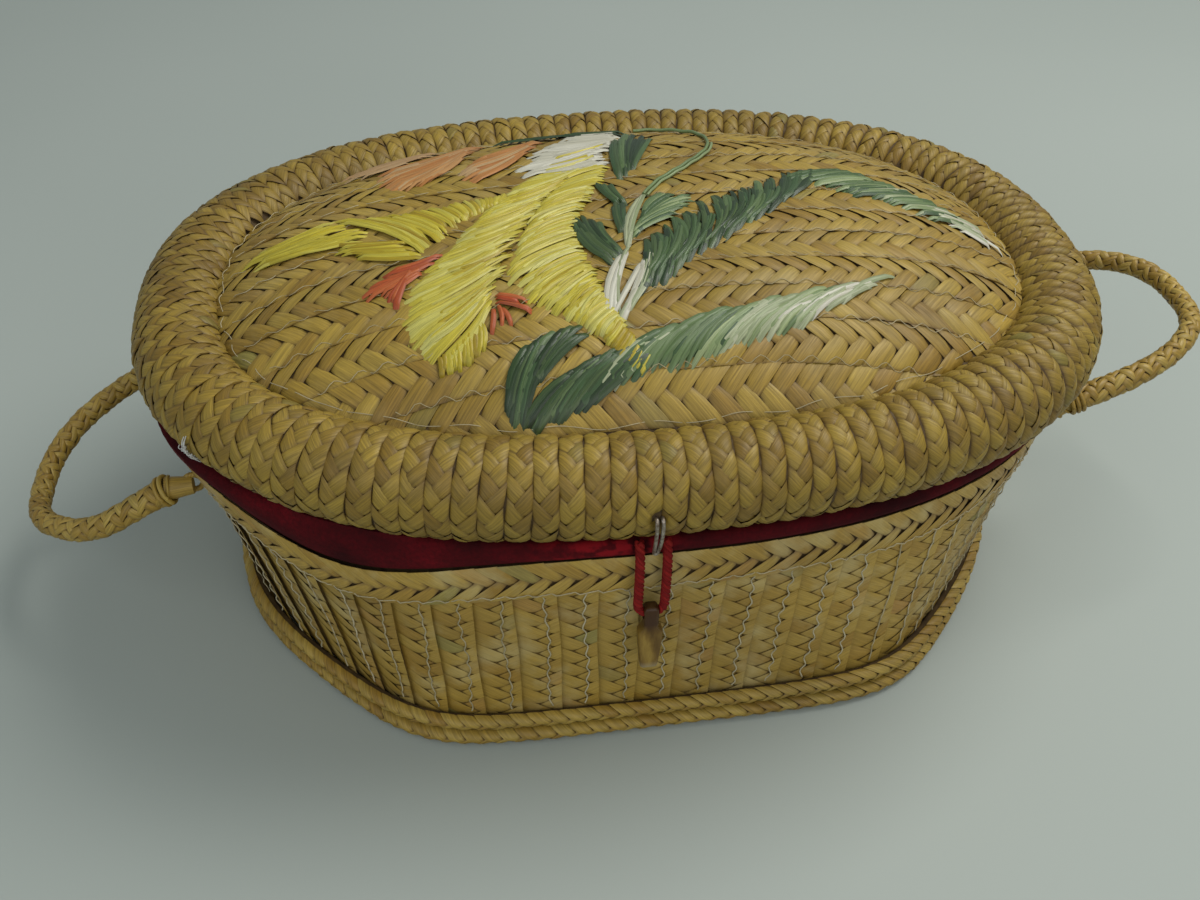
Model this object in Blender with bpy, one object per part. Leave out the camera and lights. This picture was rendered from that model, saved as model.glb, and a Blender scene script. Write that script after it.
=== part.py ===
"""Oval work basket of plaited straw with a domed, embroidered lid.

Metres, +Z up. The origin is on the floor under the middle of the basket, +X runs along the
basket's length and the latch is on the -Y side. The lid is closed.
"""

import math

import bmesh
import bpy
from mathutils import Vector

MM = 0.001
GAP = 0.35 * MM

# Lid rim: a stuffed roll bent round an oval
LID_HALF_LENGTH = 155 * MM
LID_HALF_DEPTH = 110.5 * MM
RIM_RADIUS = 14.85 * MM
RIM_HEIGHT = 100 * MM
RIM_SKIN = 2.2 * MM
RIM_STATIONS = 52
RIM_SLIT_MIDDLE = math.radians(205)
RIM_SLIT_WIDTH = math.radians(28)
OVAL_POWER = 2.37

# Dome of plait rows inside the rim
DOME_INSET = 12.9 * MM
DOME_EDGE_Z = 109.6 * MM
DOME_RISE = 21.5 * MM
DOME_POWER = 4.0
ROW_COUNT = 13
ROW_THICKNESS = 1.4 * MM
LID_STATIONS = 32
LID_BOARD_INSET = 15.4 * MM
LID_BOARD_DROP = 2.7 * MM
LID_BOARD_THICKNESS = 1.6 * MM
LID_LINING_DROP = 4.7 * MM
LID_LINING_THICKNESS = 1.2 * MM
LID_LINING_HEM_Z = 95 * MM

# Body wall: an eight-sided foot that opens to an oval top
WALL_TOP_Z = 79.3 * MM
TOP_HALF_LENGTH = 143.3 * MM
TOP_HALF_DEPTH = 102.1 * MM
FOOT_HALF_LENGTH = 128.4 * MM
FOOT_HALF_DEPTH = 94.7 * MM
FOOT_CORNER_POWER = 14.0
FOOT_CORNER_X = 0.82
FOOT_CORNER_Y = 0.528
STRIP_COUNT = 64
FRONT_STRIPS = 20
END_STRIPS = 12
STRIP_RELIEF = 0.7 * MM
STRIP_EDGE = 0.025
PLAIT_THICKNESS = 1.6 * MM
WALL_BOARD_THICKNESS = 2.0 * MM
WALL_LINING_THICKNESS = 1.2 * MM

# Handles: wrapped cane loops that swing in four thread eyes
HANDLE_PIVOT_X = 141.2 * MM
HANDLE_PIVOT_Z = 62 * MM
HANDLE_REACH = 56 * MM
HANDLE_HALF_WIDTH = 38 * MM
HANDLE_SHOULDER = 3 * MM
HANDLE_ROUNDNESS = 2.5
HANDLE_WRAP_RADIUS = 3.9 * MM
HANDLE_CORE_RADIUS = 1.3 * MM
HANDLE_PIN_TIP = 28.5 * MM
HANDLE_PIN_END = 35 * MM
HANDLE_STEPS = 20
HANDLE_WRAP_START = 5 * MM
EYE_OFFSET = 32 * MM
EYE_RADIUS = 2.9 * MM
EYE_WIRE_RADIUS = 0.95 * MM
LEFT_HANDLE_TILT = math.radians(-22)
RIGHT_HANDLE_TILT = math.radians(15)

# Lid hinge: two thread loops at the back
HINGE_Y = 106.2 * MM
HINGE_Z = 83.8 * MM
HINGE_LOOP_X = 26 * MM
HINGE_LOOP_RADIUS = 2.9 * MM
HINGE_THREAD_RADIUS = 0.5 * MM

# Latch at the front: cord loop, horn peg and wire staple
LATCH_X = -9 * MM
LATCH_CORD_RADIUS = 1.3 * MM
LATCH_PIVOT_Y = -103.6 * MM
LATCH_PIVOT_Z = 86 * MM
PEG_Y = -105.2 * MM
PEG_Z = 58.5 * MM
PEG_HOLE_RADIUS = 1.65 * MM
PEG_DEPTH = 4.8 * MM
STAPLE_WIRE_RADIUS = 0.45 * MM
STAPLE_HOLE_RADIUS = 1.7 * MM
STAPLE_Z = 99.3 * MM

# Embroidery patches on the dome
STITCH_LIFT = 0.4 * MM
STITCH_THICKNESS = 0.8 * MM
NARROW_TAIL = 0.25
BROAD_TAIL = 0.45

PARTS_NAME = "straw_work_basket"
CUTTERS_NAME = "straw_work_basket_cutters"

STRAW = (0.46, 0.32, 0.13, 1.0)
STRAW_PALE = (0.44, 0.33, 0.17, 1.0)
STRAW_GOLD = (0.42, 0.26, 0.07, 1.0)
CARD = (0.36, 0.30, 0.21, 1.0)
CANE = (0.40, 0.27, 0.12, 1.0)
RED_VELVET = (0.16, 0.004, 0.012, 1.0)
RED_CORD = (0.30, 0.012, 0.015, 1.0)
HORN = (0.30, 0.17, 0.06, 1.0)
STEEL = (0.45, 0.43, 0.40, 1.0)
RAFFIA_YELLOW = (0.60, 0.45, 0.06, 1.0)
RAFFIA_WHITE = (0.62, 0.60, 0.50, 1.0)
RAFFIA_ORANGE = (0.60, 0.22, 0.07, 1.0)
RAFFIA_SALMON = (0.50, 0.26, 0.13, 1.0)
RAFFIA_RED = (0.48, 0.10, 0.04, 1.0)
RAFFIA_DARK_GREEN = (0.035, 0.09, 0.045, 1.0)
RAFFIA_PALE_GREEN = (0.25, 0.33, 0.17, 1.0)


def clear_scene():
    """Remove every object so that the model starts empty."""
    for item in list(bpy.data.objects):
        bpy.data.objects.remove(item, do_unlink=True)


def collection_named(name):
    """A collection linked to the scene."""
    group = bpy.data.collections.new(name)
    bpy.context.scene.collection.children.link(group)
    return group


def material_named(name, colour, roughness, metallic=0.0):
    """A Principled material with plain values."""
    material = bpy.data.materials.new(name)
    material.use_nodes = True
    shader = material.node_tree.nodes["Principled BSDF"]
    shader.inputs["Base Color"].default_value = colour
    shader.inputs["Roughness"].default_value = roughness
    shader.inputs["Metallic"].default_value = metallic
    material.diffuse_color = colour
    return material


def object_from_bmesh(name, shape, material, group):
    """Turn a bmesh into a named object with outward faces and its own material."""
    bmesh.ops.recalc_face_normals(shape, faces=shape.faces)
    mesh = bpy.data.meshes.new(name)
    shape.to_mesh(mesh)
    shape.free()
    mesh.materials.append(material)
    mesh.shade_smooth()
    mesh.set_sharp_from_angle(angle=math.radians(40))
    item = bpy.data.objects.new(name, mesh)
    group.objects.link(item)
    return item


def oval_point(angle, half_length, half_depth):
    """A point on the oval of the lid and of the body's top."""
    c, s = math.cos(angle), math.sin(angle)
    reach = (abs(c) ** OVAL_POWER + abs(s) ** OVAL_POWER) ** (-1 / OVAL_POWER)
    return Vector((half_length * c * reach, half_depth * s * reach))


def foot_point(angle, half_length, half_depth):
    """A point on the rounded eight-sided outline of the foot."""
    c, s = abs(math.cos(angle)), abs(math.sin(angle))
    corner = FOOT_CORNER_X * c + FOOT_CORNER_Y * s
    power = FOOT_CORNER_POWER
    reach = (c**power + s**power + corner**power) ** (-1 / power)
    return Vector((half_length * math.cos(angle) * reach, half_depth * math.sin(angle) * reach))


def wall_point(angle, height, inset):
    """A point on the wall's outer face at a height, moved inwards by inset."""
    rise = height / WALL_TOP_Z
    low = foot_point(angle, FOOT_HALF_LENGTH - inset, FOOT_HALF_DEPTH - inset)
    high = oval_point(angle, TOP_HALF_LENGTH - inset, TOP_HALF_DEPTH - inset)
    flat = low.lerp(high, rise) if rise <= 1 else high + (high - low) * (rise - 1)
    return Vector((flat.x, flat.y, height))


def even_angles(count, point_at):
    """Angles whose points are evenly spaced along an outline."""
    fine = 1440
    marks = [point_at(2 * math.pi * i / fine) for i in range(fine + 1)]
    lengths = [0.0]
    for before, after in zip(marks, marks[1:]):
        lengths.append(lengths[-1] + (after - before).length)
    angles = []
    step = 0
    for i in range(count):
        target = lengths[-1] * i / count
        while lengths[step + 1] < target:
            step += 1
        share = (target - lengths[step]) / (lengths[step + 1] - lengths[step])
        angles.append(2 * math.pi * (step + share) / fine)
    return angles


def wall_angles():
    """Stations round the wall, one to each plait strip, starting at the middle of the +X end."""
    return even_angles(STRIP_COUNT, lambda angle: wall_point(angle, WALL_TOP_Z / 2, 0.0))


def rim_angles(count):
    """Stations round the lid's rim."""
    return even_angles(count, lambda angle: oval_point(angle, LID_HALF_LENGTH, LID_HALF_DEPTH))


def ring_solid(name, rings, material, group, closed=True):
    """Join a row of equal cross-sections, closed into a ring or capped at both ends.

    Every four-sided patch is split the same way, so that nested walls stay parallel.
    """
    shape = bmesh.new()
    loops = [[shape.verts.new(point) for point in ring] for ring in rings]
    size = len(rings[0])
    pairs = list(zip(loops, loops[1:]))
    if closed:
        pairs.append((loops[-1], loops[0]))
    for first, second in pairs:
        for i in range(size):
            j = (i + 1) % size
            if first[i].co.z <= first[j].co.z:
                shape.faces.new((first[i], first[j], second[j]))
                shape.faces.new((first[i], second[j], second[i]))
            else:
                shape.faces.new((first[j], second[j], second[i]))
                shape.faces.new((first[j], second[i], first[i]))
    if not closed:
        shape.faces.new(loops[0])
        shape.faces.new(loops[-1])
    return object_from_bmesh(name, shape, material, group)


def wall_ring(name, section, material, group):
    """A ring round the wall whose section is a list of (inset, height)."""
    rings = []
    for angle in wall_angles():
        rings.append([wall_point(angle, height, inset) for inset, height in section])
    return ring_solid(name, rings, material, group)


def wall_plate(name, levels, material, group):
    """A plate inside the wall, lofted through a list of (inset, height)."""
    rings = []
    for inset, height in levels:
        rings.append([wall_point(angle, height, inset) for angle in wall_angles()])
    return ring_solid(name, rings, material, group, closed=False)


def strip_panel(name, first_strip, strip_count, material, group):
    """A run of upright plait strips, each lapped over the next like clapboard."""
    angles = wall_angles()
    low_z = 0.9 * MM
    rings = []
    for strip in range(first_strip, first_strip + strip_count):
        start = angles[strip % STRIP_COUNT]
        end = angles[(strip + 1) % STRIP_COUNT]
        span = (end - start) % (2 * math.pi)
        for share, sunk in ((STRIP_EDGE, STRIP_RELIEF), (1 - STRIP_EDGE, 0.0)):
            angle = start + span * share
            section = (
                (sunk, low_z),
                (sunk, WALL_TOP_Z),
                (PLAIT_THICKNESS, WALL_TOP_Z),
                (PLAIT_THICKNESS, low_z),
            )
            rings.append([wall_point(angle, height, inset) for inset, height in section])
    return ring_solid(name, rings, material, group, closed=False)


def make_wall_plaits(material, group):
    """The outer straw skin in four panels: two long sides and two ends."""
    half_end = END_STRIPS // 2
    strip_panel("wall_plait_right", STRIP_COUNT - half_end, END_STRIPS, material("straw_right"), group)
    strip_panel("wall_plait_back", half_end, FRONT_STRIPS, material("straw_back"), group)
    strip_panel("wall_plait_left", half_end + FRONT_STRIPS, END_STRIPS, material("straw_left"), group)
    start = half_end + FRONT_STRIPS + END_STRIPS
    strip_panel("wall_plait_front", start, FRONT_STRIPS, material("straw_front"), group)


def make_wall_board(material, group):
    """The stiff card between the straw skin and the lining."""
    outer = PLAIT_THICKNESS + GAP
    inner = outer + WALL_BOARD_THICKNESS
    low_z = 2.75 * MM
    section = ((outer, low_z), (outer, WALL_TOP_Z), (inner, WALL_TOP_Z), (inner, low_z))
    wall_ring("wall_board", section, material, group)


def make_wall_lining(material, group):
    """The velvet lining, rolled over the wall's top edge as a soft collar under the lid."""
    outer = PLAIT_THICKNESS + WALL_BOARD_THICKNESS + 2 * GAP
    inner = outer + WALL_LINING_THICKNESS
    low_z = 5.1 * MM
    section = (
        (outer, low_z),
        (outer, WALL_TOP_Z + GAP),
        (-0.4 * MM, WALL_TOP_Z + GAP),
        (-0.9 * MM, 81.6 * MM),
        (1.2 * MM, 84.7 * MM),
        (4.4 * MM, 84.5 * MM),
        (inner, 81.0 * MM),
        (inner, low_z),
    )
    wall_ring("wall_lining", section, material, group)


def make_top_band(material, group):
    """The level plait sewn round the outside of the wall's top."""
    back = -GAP
    face = -1.95 * MM
    low_z = 64.6 * MM
    high_z = WALL_TOP_Z + 0.2 * MM
    section = ((back, low_z), (face, low_z), (face, high_z), (back, high_z))
    wall_ring("top_band", section, material, group)


def make_foot(material, group):
    """Two braids, one on the other, that stand the basket off the table."""
    back = -GAP
    lower = (
        (back, 0.0),
        (back, 5.5 * MM),
        (-6.0 * MM, 5.5 * MM),
        (-7.1 * MM, 2.9 * MM),
        (-6.4 * MM, 0.0),
    )
    upper = (
        (back, 5.85 * MM),
        (back, 11.3 * MM),
        (-4.6 * MM, 11.3 * MM),
        (-5.9 * MM, 8.6 * MM),
        (-5.3 * MM, 5.85 * MM),
    )
    wall_ring("foot_braid_lower", lower, material("foot_lower"), group)
    wall_ring("foot_braid_upper", upper, material("foot_upper"), group)


def make_base(straw, card, velvet, group):
    """Straw underside, card floor and padded lining, one above the other."""
    skin_inset = PLAIT_THICKNESS + GAP
    floor_inset = PLAIT_THICKNESS + WALL_BOARD_THICKNESS + 2 * GAP
    pad_inset = floor_inset + WALL_LINING_THICKNESS + GAP
    wall_plate("base_plait", ((skin_inset, 0.6 * MM), (skin_inset, 2.4 * MM)), straw, group)
    wall_plate("base_board", ((floor_inset, 2.75 * MM), (floor_inset, 4.75 * MM)), card, group)
    pad = (
        (pad_inset, 5.1 * MM),
        (pad_inset, 8.0 * MM),
        (pad_inset + 8 * MM, 9.6 * MM),
    )
    wall_plate("base_lining_pad", pad, velvet, group)


def rim_frame(angle):
    """Centre of the rim's roll at an angle, with the level direction that points out of it."""
    half_length = LID_HALF_LENGTH - RIM_RADIUS
    half_depth = LID_HALF_DEPTH - RIM_RADIUS
    centre = oval_point(angle, half_length, half_depth)
    nudge = 0.001
    along = oval_point(angle + nudge, half_length, half_depth) - centre
    outward = Vector((along.y, -along.x)).normalized()
    return centre, outward


def rim_point(angle, radius, turn):
    """A point on the roll; turn is 0 straight out and a right angle at the crest."""
    centre, outward = rim_frame(angle)
    flat = centre + outward * (radius * math.cos(turn))
    return Vector((flat.x, flat.y, RIM_HEIGHT + radius * math.sin(turn)))


def make_rim_core(material, group):
    """The stuffing inside the rim's roll."""
    radius = RIM_RADIUS - RIM_SKIN - 3 * GAP
    sides = 8
    rings = []
    for angle in rim_angles(RIM_STATIONS):
        rings.append([rim_point(angle, radius, 2 * math.pi * i / sides) for i in range(sides)])
    ring_solid("rim_core", rings, material, group)


def make_rim_wrap(material, group, cutters):
    """The braid wound round the rim, open along a slit on the hidden inner side."""
    steps = 10
    first = RIM_SLIT_MIDDLE + RIM_SLIT_WIDTH / 2 - 2 * math.pi
    last = RIM_SLIT_MIDDLE - RIM_SLIT_WIDTH / 2
    turns = [first + (last - first) * i / steps for i in range(steps + 1)]
    inner = RIM_RADIUS - RIM_SKIN
    rings = []
    for angle in rim_angles(RIM_STATIONS):
        outside = [rim_point(angle, RIM_RADIUS, turn) for turn in turns]
        inside = [rim_point(angle, inner, turn) for turn in reversed(turns)]
        rings.append(outside + inside)
    wrap = ring_solid("rim_wrap", rings, material, group)
    bpy.ops.mesh.primitive_cylinder_add(
        vertices=16,
        radius=STAPLE_HOLE_RADIUS,
        depth=12 * MM,
        location=(LATCH_X, -LID_HALF_DEPTH, STAPLE_Z),
        rotation=(math.pi / 2, 0, 0),
    )
    drill = bpy.context.object
    drill.name = "staple_hole_cutter"
    move_to(drill, cutters)
    cut(wrap, drill)


def move_to(item, group):
    """Put an object in one collection only."""
    for owner in list(item.users_collection):
        owner.objects.unlink(item)
    group.objects.link(item)


def cut(target, cutter):
    """Subtract a cutter, which stays in the file as a hidden guide."""
    cutter.hide_render = True
    cutter.display_type = "WIRE"
    modifier = target.modifiers.new("cut", "BOOLEAN")
    modifier.operation = "DIFFERENCE"
    modifier.solver = "EXACT"
    modifier.object = cutter


def dome_half_sizes():
    """Half length and half depth of the dome's edge."""
    length = LID_HALF_LENGTH - RIM_RADIUS - DOME_INSET
    depth = LID_HALF_DEPTH - RIM_RADIUS - DOME_INSET
    return length, depth


def dome_height(x, y):
    """Height of the straw dome's top surface over a point of the lid."""
    half_length, half_depth = dome_half_sizes()
    share = (abs(x / half_length) ** OVAL_POWER + abs(y / half_depth) ** OVAL_POWER) ** (1 / OVAL_POWER)
    return DOME_EDGE_Z + DOME_RISE * (1 - min(share, 1.0) ** DOME_POWER)


def sheet_solid(name, point_at, columns, rows, thickness, material, group):
    """A grid shaped by point_at(u, v) with u and v from 0 to 1, thickened downwards."""
    shape = bmesh.new()
    bmesh.ops.create_grid(shape, x_segments=columns, y_segments=rows, size=0.5)
    for vert in shape.verts:
        vert.co = point_at(vert.co.x + 0.5, vert.co.y + 0.5)
    result = bmesh.ops.extrude_face_region(shape, geom=shape.faces[:], use_keep_orig=True)
    lowered = [part for part in result["geom"] if isinstance(part, bmesh.types.BMVert)]
    bmesh.ops.translate(shape, verts=lowered, vec=(0, 0, -thickness))
    return object_from_bmesh(name, shape, material, group)


def make_dome_row(number, material, group):
    """One length of plait across the dome, numbered from the front."""
    half_length, half_depth = dome_half_sizes()
    pitch = 2 * half_depth / ROW_COUNT
    near = -half_depth + (number - 1) * pitch + GAP / 2
    far = near + pitch - GAP
    tip = half_depth * 0.995

    def point_at(u, v):
        y = near + (far - near) * v
        y = max(-tip, min(tip, y))
        reach = half_length * (1 - abs(y / half_depth) ** OVAL_POWER) ** (1 / OVAL_POWER)
        x = reach * math.sin(math.pi * (u - 0.5))
        return Vector((x, y, dome_height(x, y)))

    at_edge = number in (1, ROW_COUNT)
    sheet_solid(f"dome_row_{number:02d}", point_at, 12, 4 if at_edge else 2, ROW_THICKNESS, material, group)


def dome_ring(share, inset, drop, count):
    """An oval ring at a share of the way to the dome's edge, under the straw by drop."""
    half_length = LID_HALF_LENGTH - RIM_RADIUS - inset
    half_depth = LID_HALF_DEPTH - RIM_RADIUS - inset
    ring = []
    for angle in rim_angles(count):
        flat = oval_point(angle, half_length * share, half_depth * share)
        ring.append(Vector((flat.x, flat.y, dome_height(flat.x, flat.y) - drop)))
    return ring


def make_lid_board(material, group):
    """The domed card that carries the straw rows."""
    shares = (0.3, 0.55, 0.75, 0.88, 1.0)
    low = LID_BOARD_DROP + LID_BOARD_THICKNESS
    rings = [dome_ring(share, LID_BOARD_INSET, LID_BOARD_DROP, LID_STATIONS) for share in shares]
    rings += [dome_ring(share, LID_BOARD_INSET, low, LID_STATIONS) for share in reversed(shares)]
    ring_solid("lid_board", rings, material, group, closed=False)


def make_lid_lining(material, group):
    """The velvet inside the lid, with a hem that hides the inner side of the rim."""
    shares = (0.3, 0.55, 0.75, 0.88, 0.985)
    outer_inset = LID_BOARD_INSET
    low = LID_LINING_DROP + LID_LINING_THICKNESS
    rings = [dome_ring(share, outer_inset, LID_LINING_DROP, LID_STATIONS) for share in shares]
    outer = dome_ring(1.0, outer_inset, 0.0, LID_STATIONS)
    inner = dome_ring(1.0, outer_inset + LID_LINING_THICKNESS, 0.0, LID_STATIONS)
    shoulder = rings[-1][0].z - 0.8 * MM
    rings.append([Vector((p.x, p.y, shoulder)) for p in outer])
    rings.append([Vector((p.x, p.y, LID_LINING_HEM_Z)) for p in outer])
    rings.append([Vector((p.x, p.y, LID_LINING_HEM_Z)) for p in inner])
    inner_shares = (0.3, 0.55, 0.75, 0.88, 0.97)
    rings += [dome_ring(share, outer_inset, low, LID_STATIONS) for share in reversed(inner_shares)]
    ring_solid("lid_lining", rings, material, group, closed=False)


def tube_curve(name, points, radius, sides_level, group):
    """A round tube along a row of points, with closed ends."""
    data = bpy.data.curves.new(name, "CURVE")
    data.dimensions = "3D"
    data.bevel_depth = radius
    data.bevel_resolution = sides_level
    data.use_fill_caps = True
    spline = data.splines.new("POLY")
    spline.points.add(len(points) - 1)
    for knot, point in zip(spline.points, points):
        knot.co = (point[0], point[1], point[2], 1.0)
    item = bpy.data.objects.new(name, data)
    group.objects.link(item)
    return item


def mesh_from_curve(curve, material, group):
    """Replace a curve object by a mesh object with welded caps."""
    bpy.context.view_layer.update()
    depsgraph = bpy.context.evaluated_depsgraph_get()
    mesh = bpy.data.meshes.new_from_object(curve.evaluated_get(depsgraph))
    shape = bmesh.new()
    shape.from_mesh(mesh)
    bmesh.ops.remove_doubles(shape, verts=shape.verts, dist=1e-6)
    name = curve.name
    matrix = curve.matrix_world.copy()
    curve.name = name + "_path"
    item = object_from_bmesh(name, shape, material, group)
    item.matrix_world = matrix
    bpy.data.objects.remove(curve, do_unlink=True)
    return item


def smooth_points(knots, steps):
    """Points on a smooth path through the knots."""
    ends = [2 * knots[0] - knots[1]] + list(knots) + [2 * knots[-1] - knots[-2]]
    points = []
    for i in range(1, len(ends) - 2):
        a, b, c, d = ends[i - 1 : i + 3]
        for step in range(steps):
            t = step / steps
            slope = (c - a) * t
            bend = (2 * a - 5 * b + 4 * c - d) * t**2
            twist = (3 * b - a - 3 * c + d) * t**3
            points.append(0.5 * (2 * b + slope + bend + twist))
    points.append(knots[-1])
    return points


def handle_arc():
    """The handle's bow from one shoulder round to the other, in the handle's own plane."""
    arc = []
    for i in range(HANDLE_STEPS + 1):
        turn = math.pi * i / HANDLE_STEPS
        c, s = math.cos(turn), math.sin(turn)
        y = HANDLE_HALF_WIDTH * math.copysign(abs(c) ** (2 / HANDLE_ROUNDNESS), c)
        x = HANDLE_SHOULDER + (HANDLE_REACH - HANDLE_SHOULDER) * abs(s) ** (2 / HANDLE_ROUNDNESS)
        arc.append(Vector((x, y, 0.0)))
    return arc


def make_handle(side, pivot, turn_z, tilt, core_material, wrap_material, group, cutters):
    """A cane bow whose in-turned ends are the hinge pins, wound with straw braid."""
    arc = handle_arc()
    pin = [Vector((0.0, HANDLE_PIN_TIP, 0.0)), Vector((0.0, HANDLE_PIN_END, 0.0))]
    corner = Vector((0.8 * MM, 37 * MM, 0.0))
    start = pin + [corner]
    finish = [Vector((p.x, -p.y, 0.0)) for p in reversed(start)]
    core_points = start + arc + finish
    core_curve = tube_curve(f"handle_core_{side}", core_points, HANDLE_CORE_RADIUS, 1, group)
    core = mesh_from_curve(core_curve, core_material, group)
    wrap_start = Vector((HANDLE_WRAP_START, HANDLE_HALF_WIDTH, 0.0))
    wrap_finish = Vector((HANDLE_WRAP_START, -HANDLE_HALF_WIDTH, 0.0))
    wrap_points = [wrap_start] + arc[1:-1] + [wrap_finish]
    wrap_curve = tube_curve(f"handle_wrap_{side}", wrap_points, HANDLE_WRAP_RADIUS, 2, group)
    wrap = mesh_from_curve(wrap_curve, wrap_material, group)
    bore_curve = tube_curve(
        f"handle_bore_{side}", arc, HANDLE_CORE_RADIUS + GAP, 1, cutters
    )
    bore = mesh_from_curve(bore_curve, core_material, cutters)
    cut(wrap, bore)
    for item in (core, wrap, bore):
        item.location = pivot
        item.rotation_euler = (0.0, -tilt, turn_z)


def make_ring(name, location, radius, wire_radius, rotation, material, group):
    """A small closed ring of thread."""
    bpy.ops.mesh.primitive_torus_add(
        location=location,
        rotation=rotation,
        major_radius=radius,
        minor_radius=wire_radius,
        major_segments=12,
        minor_segments=5,
    )
    ring = bpy.context.object
    ring.name = name
    ring.data.name = name
    ring.data.materials.append(material)
    ring.data.shade_smooth()
    move_to(ring, group)
    return ring


def make_handles(straw, cane, group, cutters):
    """Both handles and the four eyes that hold their ends."""
    along_y = (math.pi / 2, 0.0, 0.0)
    sides = (("right", 1, 0.0, RIGHT_HANDLE_TILT), ("left", -1, math.pi, LEFT_HANDLE_TILT))
    for side, sign, turn_z, tilt in sides:
        pivot = Vector((sign * HANDLE_PIVOT_X, 0.0, HANDLE_PIVOT_Z))
        make_handle(
            side, pivot, turn_z, tilt, cane(f"cane_{side}"), straw(f"braid_{side}"), group, cutters
        )
        for end, y in (("front", -EYE_OFFSET), ("rear", EYE_OFFSET)):
            make_ring(
                f"handle_eye_{side}_{end}",
                pivot + Vector((0.0, y, 0.0)),
                EYE_RADIUS,
                EYE_WIRE_RADIUS,
                along_y,
                straw(f"eye_{side}_{end}"),
                group,
            )


def make_hinge_loops(thread, group):
    """Two thread loops that tie the lid's rim to the back of the body."""
    along_x = (0.0, math.pi / 2, 0.0)
    for side, x in (("left", -HINGE_LOOP_X), ("right", HINGE_LOOP_X)):
        make_ring(
            f"lid_hinge_loop_{side}",
            (x, HINGE_Y, HINGE_Z),
            HINGE_LOOP_RADIUS,
            HINGE_THREAD_RADIUS,
            along_x,
            thread(f"thread_{side}"),
            group,
        )


def make_latch_loop(material, group):
    """The red cord: both ends under the lid's rim, its bend through the peg."""
    leg = [
        Vector((3.9, -103.6, 86.3)),
        Vector((3.9, -105.0, 83.6)),
        Vector((3.9, -105.9, 81.0)),
        Vector((3.9, -106.0, 76.0)),
        Vector((3.9, -105.8, 69.0)),
        Vector((3.9, -105.3, 62.5)),
        Vector((3.85, -105.2, 60.2)),
        Vector((3.4, -105.2, 59.0)),
        Vector((2.4, -105.2, 58.5)),
    ]
    half = [point * MM for point in leg]
    points = half + [Vector((-p.x, p.y, p.z)) for p in reversed(half)]
    pivot = Vector((LATCH_X, LATCH_PIVOT_Y, LATCH_PIVOT_Z))
    local = [Vector((p.x, p.y - pivot.y, p.z - pivot.z)) for p in points]
    curve = tube_curve("latch_loop", local, LATCH_CORD_RADIUS, 2, group)
    curve.location = pivot
    mesh_from_curve(curve, material, group)


def make_latch_peg(material, group, cutters):
    """The horn toggle: a narrow neck with the cord's hole, widening to a tapered blade."""
    half_outline = ((1.9, 3.0), (1.9, -4.6), (3.6, -7.0), (3.3, -14.0), (2.6, -22.0))
    outline = [(x, z) for x, z in half_outline]
    outline += [(-x, z) for x, z in reversed(half_outline)]
    data = bpy.data.curves.new("latch_peg", "CURVE")
    data.dimensions = "2D"
    data.fill_mode = "BOTH"
    data.extrude = PEG_DEPTH / 2
    spline = data.splines.new("POLY")
    spline.points.add(len(outline) - 1)
    for knot, (x, z) in zip(spline.points, outline):
        knot.co = (x * MM, z * MM, 0.0, 1.0)
    spline.use_cyclic_u = True
    curve = bpy.data.objects.new("latch_peg", data)
    group.objects.link(curve)
    curve.location = (LATCH_X, PEG_Y, PEG_Z)
    curve.rotation_euler = (math.pi / 2, 0.0, 0.0)
    peg = mesh_from_curve(curve, material, group)
    bpy.ops.mesh.primitive_cylinder_add(
        vertices=12,
        radius=PEG_HOLE_RADIUS,
        depth=12 * MM,
        location=(LATCH_X, PEG_Y, PEG_Z),
        rotation=(0.0, math.pi / 2, 0.0),
    )
    drill = bpy.context.object
    drill.name = "peg_hole_cutter"
    move_to(drill, cutters)
    cut(peg, drill)


def make_latch_staple(material, group):
    """A thin wire hairpin that hangs from a hole in the rim."""
    leg = [
        Vector((0.8, -108.5, 99.3)),
        Vector((0.8, -110.6, 99.3)),
        Vector((0.8, -111.2, 98.6)),
        Vector((0.8, -111.1, 95.5)),
        Vector((0.8, -110.2, 91.5)),
        Vector((0.75, -109.0, 88.2)),
        Vector((0.65, -107.9, 85.6)),
        Vector((0.3, -107.6, 84.9)),
    ]
    half = [point * MM for point in leg]
    points = half + [Vector((-p.x, p.y, p.z)) for p in reversed(half)]
    placed = [p + Vector((LATCH_X, 0.0, 0.0)) for p in points]
    curve = tube_curve("latch_staple", placed, STAPLE_WIRE_RADIUS, 1, group)
    mesh_from_curve(curve, material, group)


def make_stitch_patch(name, knots, half_width, material, group, tail=NARROW_TAIL):
    """A leaf or petal of laid stitches along a path on the dome, knots in millimetres."""
    path = smooth_points([Vector((x * MM, y * MM, 0.0)) for x, y in knots], 8)
    columns = 6
    full = half_width * MM

    def point_at(u, v):
        place = u * (len(path) - 1)
        index = min(int(place), len(path) - 2)
        share = place - index
        middle = path[index].lerp(path[index + 1], share)
        along = (path[index + 1] - path[index]).normalized()
        across = Vector((-along.y, along.x, 0.0))
        width = full * (tail + (1 - tail) * math.sin(math.pi * (0.06 + 0.88 * u)) ** 0.8)
        spot = middle + across * (width * (2 * v - 1))
        height = dome_height(spot.x, spot.y) + STITCH_LIFT + STITCH_THICKNESS
        return Vector((spot.x, spot.y, height))

    sheet_solid(name, point_at, columns, 2, STITCH_THICKNESS, material, group)


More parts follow.
